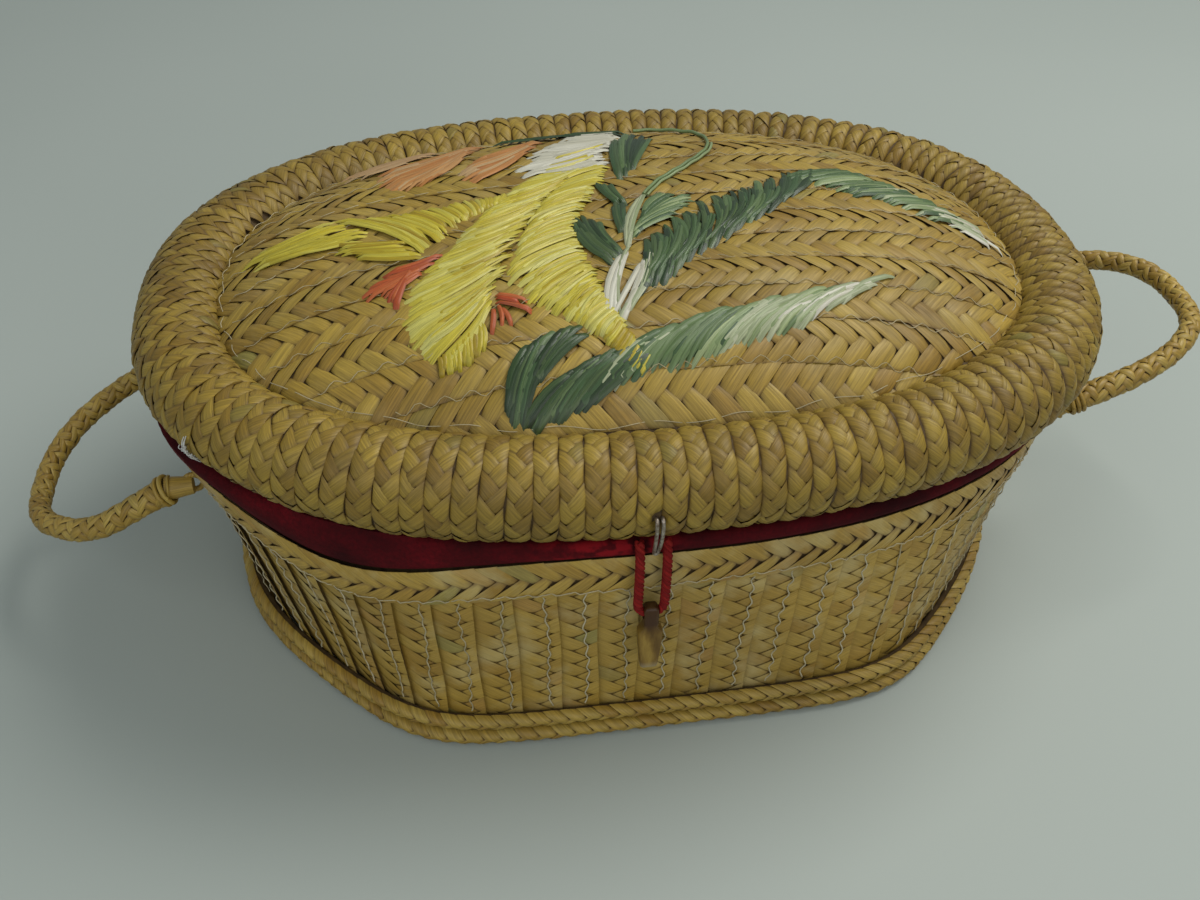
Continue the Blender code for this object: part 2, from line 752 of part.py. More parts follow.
def make_embroidery(group):
    """The raffia flower with its buds, leaves and stems."""

    def yellow(name):
        return material_named(name, RAFFIA_YELLOW, 0.5)

    def dark(name):
        return material_named(name, RAFFIA_DARK_GREEN, 0.5)

    def pale(name):
        return material_named(name, RAFFIA_PALE_GREEN, 0.5)

    def white(name):
        return material_named(name, RAFFIA_WHITE, 0.5)

    outline = [(-24, 22), (-38, -4), (-53, -24), (-59, -46)]
    make_stitch_patch("petal_yellow_left", outline, 10, yellow("raffia_1"), group, BROAD_TAIL)
    outline = [(-7, 14), (-22, -12), (-26, -36), (-14, -58)]
    make_stitch_patch("petal_yellow_right", outline, 7, yellow("raffia_2"), group, BROAD_TAIL)
    make_stitch_patch("petal_yellow_side", [(-118, 5), (-92, 3), (-62, -6)], 7, yellow("raffia_3"), group)
    make_stitch_patch("petal_white", [(-22, 32), (-8, 42), (6, 48)], 5, white("raffia_4"), group)
    bud = material_named("raffia_5", RAFFIA_SALMON, 0.5)
    make_stitch_patch("bud_salmon", [(-72, 34), (-58, 44), (-44, 54)], 6, bud, group)
    bud = material_named("raffia_6", RAFFIA_ORANGE, 0.5)
    make_stitch_patch("bud_orange", [(-45, 30), (-34, 39), (-24, 48)], 3.5, bud, group)
    accent = material_named("raffia_7", RAFFIA_RED, 0.5)
    make_stitch_patch("accent_red", [(-84, -32), (-75, -28), (-66, -24)], 3.5, accent, group)
    make_stitch_patch("leaf_green_arc", [(-30, 58), (-10, 63), (8, 61)], 2.2, dark("raffia_8"), group)
    make_stitch_patch("leaf_green_upper", [(3, 20), (8, 34), (13, 50)], 4, dark("raffia_9"), group)
    make_stitch_patch("leaf_pale_small", [(3, -12), (10, -6), (18, 3)], 3.5, pale("raffia_10"), group)
    make_stitch_patch("leaf_dark_small", [(-10, -6), (-9, -15), (-8, -26)], 2.2, dark("raffia_11"), group)
    make_stitch_patch("stem_white", [(2, -20), (-4, -36), (-10, -50)], 2.2, white("raffia_12"), group)
    outline = [(0, -44), (9, -30), (22, -13), (40, -2), (58, 12)]
    make_stitch_patch("leaf_green_long", outline, 4.5, dark("raffia_13"), group)
    make_stitch_patch("leaf_pale_long", [(64, 14), (88, 6), (112, -8)], 4, pale("raffia_14"), group)
    make_stitch_patch("leaf_front_dark", [(-42, -75), (-36, -66), (-27, -58)], 4, dark("raffia_15"), group)
    outline = [(-30, -73), (-8, -67), (14, -62), (40, -55), (68, -44)]
    make_stitch_patch("leaf_front_pale", outline, 4.5, pale("raffia_16"), group)


def main():
    """Build the whole basket."""
    clear_scene()
    group = collection_named(PARTS_NAME)
    cutters = collection_named(CUTTERS_NAME)

    def straw(name):
        return material_named(name, STRAW, 0.62)

    def pale_straw(name):
        return material_named(name, STRAW_PALE, 0.65)

    def gold_straw(name):
        return material_named(name, STRAW_GOLD, 0.58)

    def cane(name):
        return material_named(name, CANE, 0.6)

    make_base(pale_straw("base_straw"), material_named("base_card", CARD, 0.9), velvet("base_velvet"), group)
    make_wall_board(material_named("wall_card", CARD, 0.9), group)
    make_wall_plaits(pale_straw, group)
    make_wall_lining(velvet("wall_velvet"), group)
    make_top_band(pale_straw("band_straw"), group)
    make_foot(straw, group)
    make_handles(gold_straw, cane, group, cutters)
    make_hinge_loops(straw, group)
    make_rim_core(material_named("rim_stuffing", CANE, 0.9), group)
    make_rim_wrap(straw("rim_straw"), group, cutters)
    make_lid_board(material_named("lid_card", CARD, 0.9), group)
    make_lid_lining(velvet("lid_velvet"), group)
    for number in range(1, ROW_COUNT + 1):
        make_dome_row(number, straw(f"row_straw_{number:02d}"), group)
    make_latch_staple(material_named("staple_wire", STEEL, 0.35, 0.9), group)
    make_latch_loop(material_named("latch_cord", RED_CORD, 0.8), group)
    make_latch_peg(material_named("peg_horn", HORN, 0.3), group, cutters)
    make_embroidery(group)


def velvet(name):
    """Dark red pile cloth."""
    return material_named(name, RED_VELVET, 0.9)


main()
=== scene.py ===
"""Oval straw work basket: plaits, wound rim, raffia embroidery, velvet lining, handles and latch."""

import math

import bmesh
import bpy
import numpy as np
from mathutils import Euler, Matrix, Vector


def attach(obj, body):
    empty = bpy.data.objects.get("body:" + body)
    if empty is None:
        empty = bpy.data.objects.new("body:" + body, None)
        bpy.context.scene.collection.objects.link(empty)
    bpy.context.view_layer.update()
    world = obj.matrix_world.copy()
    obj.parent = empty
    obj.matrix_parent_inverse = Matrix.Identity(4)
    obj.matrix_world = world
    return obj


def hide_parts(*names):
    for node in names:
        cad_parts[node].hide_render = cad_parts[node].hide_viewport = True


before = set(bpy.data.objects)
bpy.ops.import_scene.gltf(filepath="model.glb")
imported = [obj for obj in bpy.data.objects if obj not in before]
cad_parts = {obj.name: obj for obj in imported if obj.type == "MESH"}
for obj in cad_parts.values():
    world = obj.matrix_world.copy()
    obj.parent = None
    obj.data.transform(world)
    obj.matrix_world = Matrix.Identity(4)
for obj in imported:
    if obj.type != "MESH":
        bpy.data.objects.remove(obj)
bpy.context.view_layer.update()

MM = 0.001
TURN = 2 * math.pi
ROOT = math.sqrt(2)
SEED = 29
OVAL_POWER = 2.37

# The lid's rim, in millimetres
LID_A, LID_B = 155.0, 110.5
RIM_RADIUS = 14.85
RIM_Z = 100.0
PRESS_AT, PRESS_SPREAD = math.radians(204), math.radians(18)
DOME_A, DOME_B = 127.25, 82.75
DOME_EDGE_Z, DOME_RISE, DOME_POWER = 109.6, 21.5, 4.0
ROW_COUNT = 13

# The wall, in millimetres
WALL_TOP_Z = 79.3
TOP_A, TOP_B = 143.3, 102.1
FOOT_A, FOOT_B = 128.4, 94.7
CORNER_X, CORNER_Y, CORNER_POWER = 0.82, 0.528, 14.0
STRIP_COUNT = 64
BULGE, BULGE_AT, BULGE_SPREAD = 5.0, math.radians(193), math.radians(18)
DIP, DIP_AT, DIP_SPREAD = 10.0, math.radians(232), math.radians(15)
DIP_END_Z = 84.3

rng = np.random.RandomState(SEED)


# ---------------------------------------------------------------- surfaces


def round_turn(count):
    """Evenly spaced angles once round."""
    return np.linspace(0, TURN, count, endpoint=False)


def oval(angle, a, b):
    """Points on the oval of the lid and of the body's top."""
    c, s = np.cos(angle), np.sin(angle)
    reach = (np.abs(c) ** OVAL_POWER + np.abs(s) ** OVAL_POWER) ** (-1 / OVAL_POWER)
    return np.stack([a * c * reach, b * s * reach], -1)


def foot_outline(angle, a, b):
    """Points on the rounded eight-sided outline of the foot."""
    c, s = np.cos(angle), np.sin(angle)
    corner = CORNER_X * np.abs(c) + CORNER_Y * np.abs(s)
    total = np.abs(c) ** CORNER_POWER + np.abs(s) ** CORNER_POWER + corner**CORNER_POWER
    reach = total ** (-1 / CORNER_POWER)
    return np.stack([a * c * reach, b * s * reach], -1)


def near(angle, centre, spread):
    """1 at an angle, fading to 0 away from it."""
    return np.exp(-((np.angle(np.exp(1j * (angle - centre))) / spread) ** 2))


def wall(angle, z, proud, worn=1.0):
    """Points on the wall at height z, standing out by proud; worn weighs its sagging front left."""
    z = np.asarray(z, float)
    rise = z / WALL_TOP_Z
    proud = proud + worn * BULGE * rise**5 * near(angle, BULGE_AT, BULGE_SPREAD)
    low = foot_outline(angle, FOOT_A + proud, FOOT_B + proud)
    high = oval(angle, TOP_A + proud, TOP_B + proud)
    flat = low + (high - low) * rise[..., None]
    sag = np.where(rise < 1, rise**1.2, np.clip((DIP_END_Z - z) / (DIP_END_Z - WALL_TOP_Z), 0, 1))
    z = z - worn * DIP * sag * near(angle, DIP_AT, DIP_SPREAD)
    return np.concatenate([flat, np.broadcast_to(z[..., None], flat.shape[:-1] + (1,))], -1)


def unit(vectors):
    """Vectors of length 1."""
    return vectors / np.maximum(np.linalg.norm(vectors, axis=-1, keepdims=True), 1e-9)


def lengths_to(points):
    """The length of a line up to each of its points."""
    return np.concatenate([[0], np.cumsum(np.linalg.norm(np.diff(points, axis=0), axis=1))])


def along_line(want, places, points):
    """Points on a line at the wanted places."""
    return np.stack([np.interp(want, places, column) for column in points.T], -1)


def arc_table(point_at, steps=2880):
    """Angles round an outline with the length of outline up to each."""
    angle = np.linspace(0, TURN, steps + 1)
    return angle, lengths_to(point_at(angle))


def angle_at(table, length):
    """The angle at a length round an outline, going round as often as it needs to."""
    angle, total = table[0], table[1][-1]
    turns = np.floor(length / total)
    return np.interp(length - turns * total, table[1], angle) + TURN * turns


def rim_frame(angle):
    """Centre of the rim's roll with the level direction out of it."""
    a, b = LID_A - RIM_RADIUS, LID_B - RIM_RADIUS
    centre = oval(angle, a, b)
    along = oval(angle + 0.001, a, b) - centre
    return centre, unit(np.stack([along[..., 1], -along[..., 0]], -1))


def rim(angle, radius, turn):
    """Points round the roll, pressed up low on its left; turn is 0 outward, a right angle on top."""
    centre, outward = rim_frame(angle)
    pressed = near(angle, PRESS_AT, PRESS_SPREAD) * np.clip(-np.sin(turn), 0, 1)
    flat = centre + outward * (radius * np.cos(turn) * (1 - 0.4 * pressed))[..., None]
    return np.concatenate([flat, (RIM_Z + radius * np.sin(turn) * (1 - 0.6 * pressed))[..., None]], -1)


def dome_share(x, y):
    """How far out over the dome a point is: 0 in the middle and 1 at its edge."""
    return (np.abs(x / DOME_A) ** OVAL_POWER + np.abs(y / DOME_B) ** OVAL_POWER) ** (1 / OVAL_POWER)


def dome_z(x, y):
    """Height of the dome."""
    share = dome_share(x, y)
    tuck = 90 * np.clip(share - 1, 0, 0.02)
    return DOME_EDGE_Z + DOME_RISE * (1 - np.minimum(share, 1) ** DOME_POWER) - tuck


def dome(x, y, lift):
    """Points over the dome, lifted along its normal and kept inside its edge."""
    share = dome_share(x, y)
    scale = np.minimum(1.0, 1.015 / np.maximum(share, 1e-6))
    x, y = x * scale, y * scale
    step = 0.2
    slope_x = (dome_z(x * 0.99 + step, y * 0.99) - dome_z(x * 0.99 - step, y * 0.99)) / (2 * step)
    slope_y = (dome_z(x * 0.99, y * 0.99 + step) - dome_z(x * 0.99, y * 0.99 - step)) / (2 * step)
    normal = unit(np.stack([-slope_x, -slope_y, np.ones_like(x)], -1))
    return np.stack([x, y, dome_z(x, y)], -1) + normal * np.asarray(lift)[..., None]


# ---------------------------------------------------------------- mesh soup


class Soup:
    """Closed bodies collected into one mesh, each with its own grain, tone and patch of UV."""

    def __init__(self):
        self.co, self.faces, self.slots = [], [], []
        self.grain, self.tone, self.edge, self.uv, self.owner = [], [], [], [], []
        self.count = 0
        self.bodies = 0

    def add(self, co, faces, grain, tone, edge, uv, slot=0):
        """Add bodies: co (bodies, verts, 3) in millimetres and faces of one body."""
        bodies, size = co.shape[:2]
        self.co.append(co.reshape(-1, 3))
        self.grain.append(grain.reshape(-1, 3))
        self.tone.append(tone.reshape(-1))
        self.edge.append(edge.reshape(-1))
        self.uv.append(uv.reshape(-1, 2))
        self.owner.append(np.repeat(np.arange(bodies) + self.bodies, size))
        for body in range(bodies):
            start = self.count + body * size
            self.faces += [[start + i for i in face] for face in faces]
        self.slots += [slot] * (bodies * len(faces))
        self.count += bodies * size
        self.bodies += bodies

    def piece(self, name, materials, smooth=62):
        """Turn the collected bodies into one object."""
        mesh = bpy.data.meshes.new(name)
        co = np.concatenate(self.co) * MM
        mesh.from_pydata(co.tolist(), [], self.faces)
        for material in materials:
            mesh.materials.append(material)
        mesh.polygons.foreach_set("material_index", self.slots)
        layer = mesh.attributes.new("grain", "FLOAT_VECTOR", "POINT")
        layer.data.foreach_set("vector", np.concatenate(self.grain).astype(np.float32).ravel())
        # edge carries the painted shade where strands meet
        for label, values in (("tone", self.tone), ("edge", self.edge)):
            layer = mesh.attributes.new(label, "FLOAT", "POINT")
            layer.data.foreach_set("value", np.concatenate(values).astype(np.float32))
        side = math.ceil(math.sqrt(self.bodies))
        owner = np.concatenate(self.owner)
        cell = np.stack([owner % side, owner // side], -1)
        margin = 0.06
        uv = (cell + margin + (1 - 2 * margin) * np.concatenate(self.uv)) / side
        corner = np.zeros(len(mesh.loops), np.int32)
        mesh.loops.foreach_get("vertex_index", corner)
        mesh.uv_layers.new(name="OFBake").data.foreach_set("uv", uv[corner].astype(np.float32).ravel())
        mesh.shade_smooth()
        mesh.set_sharp_from_angle(angle=math.radians(smooth))
        mesh.validate()
        return linked(name, mesh)


def linked(name, data):
    """A new object in the scene."""
    item = bpy.data.objects.new(name, data)
    bpy.context.scene.collection.objects.link(item)
    return item


def loft(name, rings):
    """A closed object through rings of points in millimetres."""
    shape = bmesh.new()
    loops = [[shape.verts.new(Vector(point) * MM) for point in ring] for ring in rings]
    for first, second in zip(loops, loops[1:]):
        for i in range(len(first)):
            k = (i + 1) % len(first)
            shape.faces.new((first[i], first[k], second[k], second[i]))
    shape.faces.new(loops[0])
    shape.faces.new(loops[-1])
    bmesh.ops.recalc_face_normals(shape, faces=shape.faces)
    mesh = bpy.data.meshes.new(name)
    shape.to_mesh(mesh)
    shape.free()
    return linked(name, mesh)


def apply_modifiers(item):
    """Make an object's evaluated mesh its own."""
    bpy.context.view_layer.update()
    mesh = bpy.data.meshes.new_from_object(item.evaluated_get(bpy.context.evaluated_depsgraph_get()))
    item.modifiers.clear()
    item.data = mesh
    return mesh


def belong(item, slot, body, *nodes):
    """Attach a piece to the body it rides and hide the CAD nodes that it replaces; slot is not used.
    """
    if nodes:
        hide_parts(*nodes)
    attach(item, body)
    return item


def outward_faces(co, faces, sign_point):
    """Faces turned so that the one nearest the middle looks along sign_point."""
    a, b, c = (co[i] for i in faces[len(faces) // 3][:3])
    return faces if np.dot(np.cross(b - a, c - b), sign_point) > 0 else [face[::-1] for face in faces]


def ribbon_faces(nu, nv):
    """Faces of one ribbon: a crowned top, a flat underside and two ends."""
    faces = []
    for i in range(nu - 1):
        for j in range(nv - 1):
            a = i * nv + j
            faces.append([a, a + nv, a + nv + 1, a + 1])
    for i in range(nu - 1):
        left, right = i * nv, i * nv + nv - 1
        faces.append([left, right, right + nv, left + nv])
    faces.append(list(range(nv - 1, -1, -1)))
    faces.append([(nu - 1) * nv + j for j in range(nv)])
    return faces


# Where a plait strand has its vertices, along it and across it
CELL_U = np.array([0.0, 0.13, 0.4, 0.7, 0.92, 1.0])
CELL_V = np.array([0.0, 0.12, 0.5, 0.88, 1.0])


def crown(v):
    """Height across a strand, from 0 at both edges to 1 along the middle."""
    return 1 - np.abs(2 * v - 1) ** 3.2


def plait(soup, place, columns, width, low, high, style, first=0):
    """Add one plait: two columns of slanted strands that meet in a zigzag.

    place(s, t, h) puts points along, across and above the plait; the strands are width wide
    and reach from low to high across it. style says, in millimetres or as shares of a strand,
    how high a strand lies (lift), crowns (bulge), leans (tilt), dives under its neighbour (sink),
    drops at its far end (drop), starts back (tuck) and varies (loose); how the plait slopes (slope)
    and rounds (round); how much strands are narrowed (gap), pinched over a length (taper, slit)
    and flattened outward (flat); and how much painted shade darkens joints (seam), sides (line)
    and edges (groove).
    """
    u, v = CELL_U, CELL_V
    centre = width / (2 * ROOT)
    batches = []
    for side in (0, 1):
        number = first + np.arange(columns, dtype=float)
        jitter = rng.uniform(-1, 1, (columns, 4))
        taper = 1 - style.get("taper", 0.0) * np.exp(-((u / style.get("slit", 0.3)) ** 2))
        squeeze = (1 - 2 * style.get("gap", 0.03)) * taper
        across = 0.5 + (v[None, :] - 0.5) * squeeze[:, None]
        own = (number[:, None, None] + across[None]) * width
        if side == 0:
            begin = number * width - style.get("tuck", 0.25) * width
            end = own + (high - centre) * ROOT
        else:
            begin = (number + 1) * width - style.get("tuck", 0.25) * width
            end = own + (centre - low) * ROOT
        run = begin[:, None, None] + u[None, :, None] * (end - begin[:, None, None])
        p, q = (run, own) if side == 0 else (own, run)
        s, t = (p + q) / ROOT, (p - q) / ROOT + centre
        inner = np.clip(1 - u / 0.26, 0, 1) ** 1.5
        outer = np.clip((u - 0.8) / 0.2, 0, 1) ** 2
        fade = 1 - style.get("flat", 0.0) * np.clip((u - 0.15) / 0.45, 0, 1)
        share = np.clip(2 * (t - low) / (high - low) - 1, -1, 1)
        lift = (
            style["lift"]
            + style["bulge"] * (1 + 0.25 * jitter[:, 0, None, None]) * (fade[:, None] * crown(v))[None]
            - style["sink"] * inner[None, :, None]
            - style.get("drop", 0.0) * outer[None, :, None]
            + (style["tilt"] + 0.35 * style["bulge"] * jitter[:, 1, None, None]) * (v - 0.5)
            + style.get("loose", 0.08) * jitter[:, 2, None, None]
            + 0.5 * style.get("slope", 0.0) * (share + 1)
            - style.get("round", 0.0) * (1 - np.sqrt(1 - 0.94 * share**2))
        )
        points = place(s, t, lift)
        tone = np.broadcast_to(rng.uniform(0, 1, columns)[:, None, None], s.shape)
        along = run - begin[:, None, None]
        offset = np.broadcast_to(number[:, None, None] * 7.3 + side * 3.1, s.shape)
        grain = np.stack([along, own, offset], -1)
        # The edge attribute is painted shade: darker where strands dive under (seam), along their
        # curving sides (line), at their far ends and towards the plait's edges (groove).
        rim_edge = 1 - crown(v)
        line = style.get("line", 0.6) * (fade[:, None] * rim_edge[None, :])
        edge = style.get("seam", 1.0) * inner[:, None] + line + 0.2 * outer[:, None]
        edge = np.clip(edge[None] + style.get("groove", 0.0) * np.abs(share) ** 7, 0, 1)
        uv = np.stack(np.broadcast_arrays(u[:, None], v[None, :]), -1)
        batches.append((points, grain, tone, edge, np.broadcast_to(uv, s.shape + (2,))))
    faces = ribbon_faces(len(u), len(v))
    for batch in batches:
        keep = ~np.isnan(batch[0]).any(axis=(1, 2, 3))
        if keep.any():
            first_row = batch[0][keep][0, 2]
            up = first_row[2] - 0.5 * (first_row[0] + first_row[-1])
            flat, *rest = (block[keep].reshape((keep.sum(), -1) + block.shape[3:]) for block in batch)
            soup.add(flat, outward_faces(flat[0], faces, up), *rest)


def tube(soup, path, radius, sides=6, closed=False, tone=0.5, slot=0, up=(0, 0, 1)):
    """Add a round tube along a path in millimetres; radius may change along it."""
    path = np.asarray(path, float)
    count = len(path)
    radius = np.broadcast_to(np.asarray(radius, float), (count,))
    tangent = unit(np.roll(path, -1, 0) - np.roll(path, 1, 0) if closed else np.gradient(path, axis=0))
    across = np.cross(tangent, np.asarray(up, float))
    short = np.linalg.norm(across, axis=1) < 1e-3
    across[short] = np.cross(tangent[short], (1.0, 0.2, 0.1))
    across = unit(across)
    for i in range(1, count):
        if np.dot(across[i], across[i - 1]) < 0:
            across[i] = -across[i]
    over = np.cross(across, tangent)
    turn = TURN * np.arange(sides) / sides
    ring = across[:, None] * np.cos(turn)[None, :, None] + over[:, None] * np.sin(turn)[None, :, None]
    co = path[:, None] + ring * radius[:, None, None]
    faces = []
    last = count if closed else count - 1
    for i in range(last):
        for j in range(sides):
            k, n = (j + 1) % sides, (i + 1) % count
            faces.append([i * sides + j, i * sides + k, n * sides + k, n * sides + j])
    if not closed:
        faces.append(list(range(sides - 1, -1, -1)))
        faces.append([(count - 1) * sides + j for j in range(sides)])
    a, b, c = (co.reshape(-1, 3)[i] for i in faces[0][:3])
    if np.dot(np.cross(b - a, c - b), ring[0, 0] + ring[0, 1]) < 0:
        faces = [face[::-1] for face in faces]
    length = lengths_to(path)[:, None]
    own = np.full((1, 1), tone * 50)
    grain = np.stack(np.broadcast_arrays(length, turn[None] * radius.mean(), own), -1)
    uv = np.stack(np.broadcast_arrays(length / max(length[-1, 0], 1e-6), (turn / TURN)[None]), -1)
    blank = np.zeros((count, sides))
    soup.add(co.reshape(1, -1, 3), faces, grain, blank + tone, blank, uv, slot)


def sheet_body(soup, grid, thickness):
    """Add a thin closed shell from a grid (rows, columns, 3) in millimetres whose rows close round."""
    rows, columns = grid.shape[:2]
    normal = unit(np.cross(np.roll(grid, -1, 1) - np.roll(grid, 1, 1), np.gradient(grid, axis=0)))
    size = rows * columns
    top = size - columns
    co = np.concatenate([grid.reshape(-1, 3), (grid - normal * thickness).reshape(-1, 3)])
    faces = []
    for i in range(rows - 1):
        for j in range(columns):
            a, b = i * columns + j, i * columns + (j + 1) % columns
            d, c = a + columns, b + columns
            faces += [[a, b, c, d], [d + size, c + size, b + size, a + size]]
    for j in range(columns):
        k = (j + 1) % columns
        faces += [[k, j, j + size, k + size], [top + j, top + k, top + k + size, top + j + size]]
    u = np.linspace(0, 1, columns + 1)[:columns]
    uv = np.stack(np.broadcast_arrays(u[None], np.linspace(0, 1, rows)[:, None]), -1).reshape(-1, 2)
    blank = np.zeros(2 * size)
    soup.add(co[None], faces, co, blank + 0.5, blank, np.concatenate([uv, uv]))


# ---------------------------------------------------------------- materials


def nodes_of(name):
    """A fresh Principled material with helpers for adding nodes."""
    material = bpy.data.materials.new(name)
    material.use_nodes = True
    tree = material.node_tree
    return material, tree, tree.nodes["Principled BSDF"]


def add_node(tree, kind, **settings):
    """A node with its plain settings."""
    node = tree.nodes.new(kind)
    for key, value in settings.items():
        setattr(node, key, value)
    return node


def object_place(tree):
    """Where a shaded point is on its object."""
    return tree.nodes.new("ShaderNodeTexCoord").outputs["Object"]


def settle(shader, **inputs):
    """Set a shader's plain inputs; an underscore stands for a space."""
    for key, value in inputs.items():
        shader.inputs[key.replace("_", " ")].default_value = value


def ramp(tree, factor, stops):
    """A colour ramp through (place, red, green, blue) stops."""
    node = tree.nodes.new("ShaderNodeValToRGB")
    while len(node.color_ramp.elements) < len(stops):
        node.color_ramp.elements.new(0.5)
    for element, (place, *colour) in zip(node.color_ramp.elements, stops):
        element.position = place
        element.color = (*colour, 1.0)
    tree.links.new(factor, node.inputs["Fac"])
    return node.outputs["Color"]


def mix(tree, factor, one, two, blend="MIX"):
    """Mix two colours; factor and colours are sockets or plain values."""
    node = add_node(tree, "ShaderNodeMix", data_type="RGBA", blend_type=blend)
    for key, value in ((0, factor), (6, one), (7, two)):
        if hasattr(value, "links"):
            tree.links.new(value, node.inputs[key])
        else:
            node.inputs[key].default_value = value if key == 0 else (*value, 1.0)
    return node.outputs[2]


def scaled(tree, vector, scale):
    """A vector scaled on each axis."""
    node = tree.nodes.new("ShaderNodeMapping")
    node.inputs["Scale"].default_value = scale
    tree.links.new(vector, node.inputs["Vector"])
    return node.outputs["Vector"]


def noise(tree, vector, scale, detail=3.0, roughness=0.55):
    """Noise on a vector."""
    node = tree.nodes.new("ShaderNodeTexNoise")
    settle(node, Scale=scale, Detail=detail, Roughness=roughness)
    tree.links.new(vector, node.inputs["Vector"])
    return node.outputs["Fac"]


def attribute(tree, name):
    """Outputs of a mesh attribute."""
    return add_node(tree, "ShaderNodeAttribute", attribute_name=name).outputs


def level(tree, value, low, high, out_low, out_high):
    """Remap a number."""
    node = tree.nodes.new("ShaderNodeMapRange")
    settle(node, From_Min=low, From_Max=high, To_Min=out_low, To_Max=out_high)
    tree.links.new(value, node.inputs["Value"])
    return node.outputs["Result"]


def bump(tree, shader, height, strength, distance):
    """Fine relief on a shader."""
    node = tree.nodes.new("ShaderNodeBump")
    settle(node, Strength=strength, Distance=distance)
    tree.links.new(height, node.inputs["Height"])
    tree.links.new(node.outputs["Normal"], shader.inputs["Normal"])


def fibre_material(
    name, stops, dark, roughness=0.5, streak=0.45, soil=0.35, specular=0.4, across=2.4, pale=0.0
):
    """Straw, raffia or cane: strands of their own shades with streaks along them and painted shade
    where strands meet.
    """
    material, tree, shader = nodes_of(name)
    grain = attribute(tree, "grain")["Vector"]
    tone = attribute(tree, "tone")["Fac"]
    edge = attribute(tree, "edge")["Fac"]
    place = object_place(tree)
    streaks = noise(tree, scaled(tree, grain, (0.09, across, 1.0)), 1.0, 4.0, 0.6)
    patches = noise(tree, place, 26.0, 3.0)
    colour = ramp(tree, tone, stops)
    light = level(tree, streaks, 0.3, 0.72, 1 - streak, 1 + 0.35 * streak)
    shade = tree.nodes.new("ShaderNodeCombineColor")
    for key in ("Red", "Green", "Blue"):
        tree.links.new(light, shade.inputs[key])
    colour = mix(tree, 1.0, colour, shade.outputs["Color"], "MULTIPLY")
    dirty = level(tree, patches, 0.42, 0.78, 0.0, soil)
    colour = mix(tree, dirty, colour, tuple(0.55 * c for c in dark))
    if pale:
        bloom = level(tree, noise(tree, place, 61.0, 4.0), 0.5, 0.72, 0.0, pale)
        colour = mix(tree, bloom, colour, (0.54, 0.45, 0.22))
    # Painted shade: the edge attribute darkens strands towards the dark colour where they dive under
    # and meet.
    crevice_shade = level(tree, edge, 0.35, 1.0, 0.0, 0.85)
    colour = mix(tree, crevice_shade, colour, dark)
    tree.links.new(colour, shader.inputs["Base Color"])
    rough = level(tree, streaks, 0.3, 0.7, roughness + 0.12, roughness - 0.1)
    tree.links.new(rough, shader.inputs["Roughness"])
    shader.inputs["Specular IOR Level"].default_value = specular
    bump(tree, shader, streaks, 0.35, 0.00025)
    return material


# Where the collar catches the light beside the latch, in metres
LIT_SPOT = (-0.022, -0.1045, 0.0835)


def velvet_material(name, colour, deep):
    """Dark red pile cloth with crushed, lighter places and a painted highlight beside the latch."""
    material, tree, shader = nodes_of(name)
    place = object_place(tree)
    crushed = noise(tree, scaled(tree, place, (1.0, 1.0, 1.8)), 34.0, 4.0)
    pile = noise(tree, place, 900.0, 2.0)
    bright = (min(1, 1.7 * c) for c in colour)
    base = ramp(tree, crushed, ((0.36, *deep), (0.62, *colour), (0.78, *bright)))
    base = mix(tree, level(tree, pile, 0.35, 0.7, 0.0, 0.45), base, deep)
    # Painted highlight: a lighter patch round LIT_SPOT, broken up by noise.
    reach = add_node(tree, "ShaderNodeVectorMath", operation="DISTANCE")
    tree.links.new(place, reach.inputs[0])
    reach.inputs[1].default_value = LIT_SPOT
    lit = level(tree, reach.outputs["Value"], 0.006, 0.024, 1.3, 0.0)
    patches = noise(tree, scaled(tree, place, (1.0, 1.0, 1.6)), 170.0, 3.0)
    patchy = level(tree, patches, 0.44, 0.58, 0.0, 1.0)
    highlight_mask = add_node(tree, "ShaderNodeMath", operation="MULTIPLY", use_clamp=True)
    tree.links.new(lit, highlight_mask.inputs[0])
    tree.links.new(patchy, highlight_mask.inputs[1])
    base = mix(tree, highlight_mask.outputs["Value"], base, (0.2, 0.004, 0.008))
    tree.links.new(base, shader.inputs["Base Color"])
    settle(shader, Roughness=0.85, Specular_IOR_Level=0.15)
    settle(shader, Sheen_Weight=0.12, Sheen_Roughness=0.35, Sheen_Tint=(0.75, 0.1, 0.12, 1.0))
    bump(tree, shader, pile, 0.4, 0.0003)
    return material


def plain_material(name, light, dark, roughness, scale, metallic=0.0):
    """Two shades mottled together, for card, the painted-shade backings, stuffing and wire."""
    material, tree, shader = nodes_of(name)
    place = object_place(tree)
    cloud = noise(tree, place, scale, 5.0)
    tree.links.new(ramp(tree, cloud, ((0.32, *dark), (0.68, *light))), shader.inputs["Base Color"])
    rough = level(tree, cloud, 0.3, 0.7, roughness + 0.15, roughness - 0.1)
    tree.links.new(rough, shader.inputs["Roughness"])
    settle(shader, Metallic=metallic, Specular_IOR_Level=0.4)
    bump(tree, shader, cloud, 0.2, 0.0002)
    return material


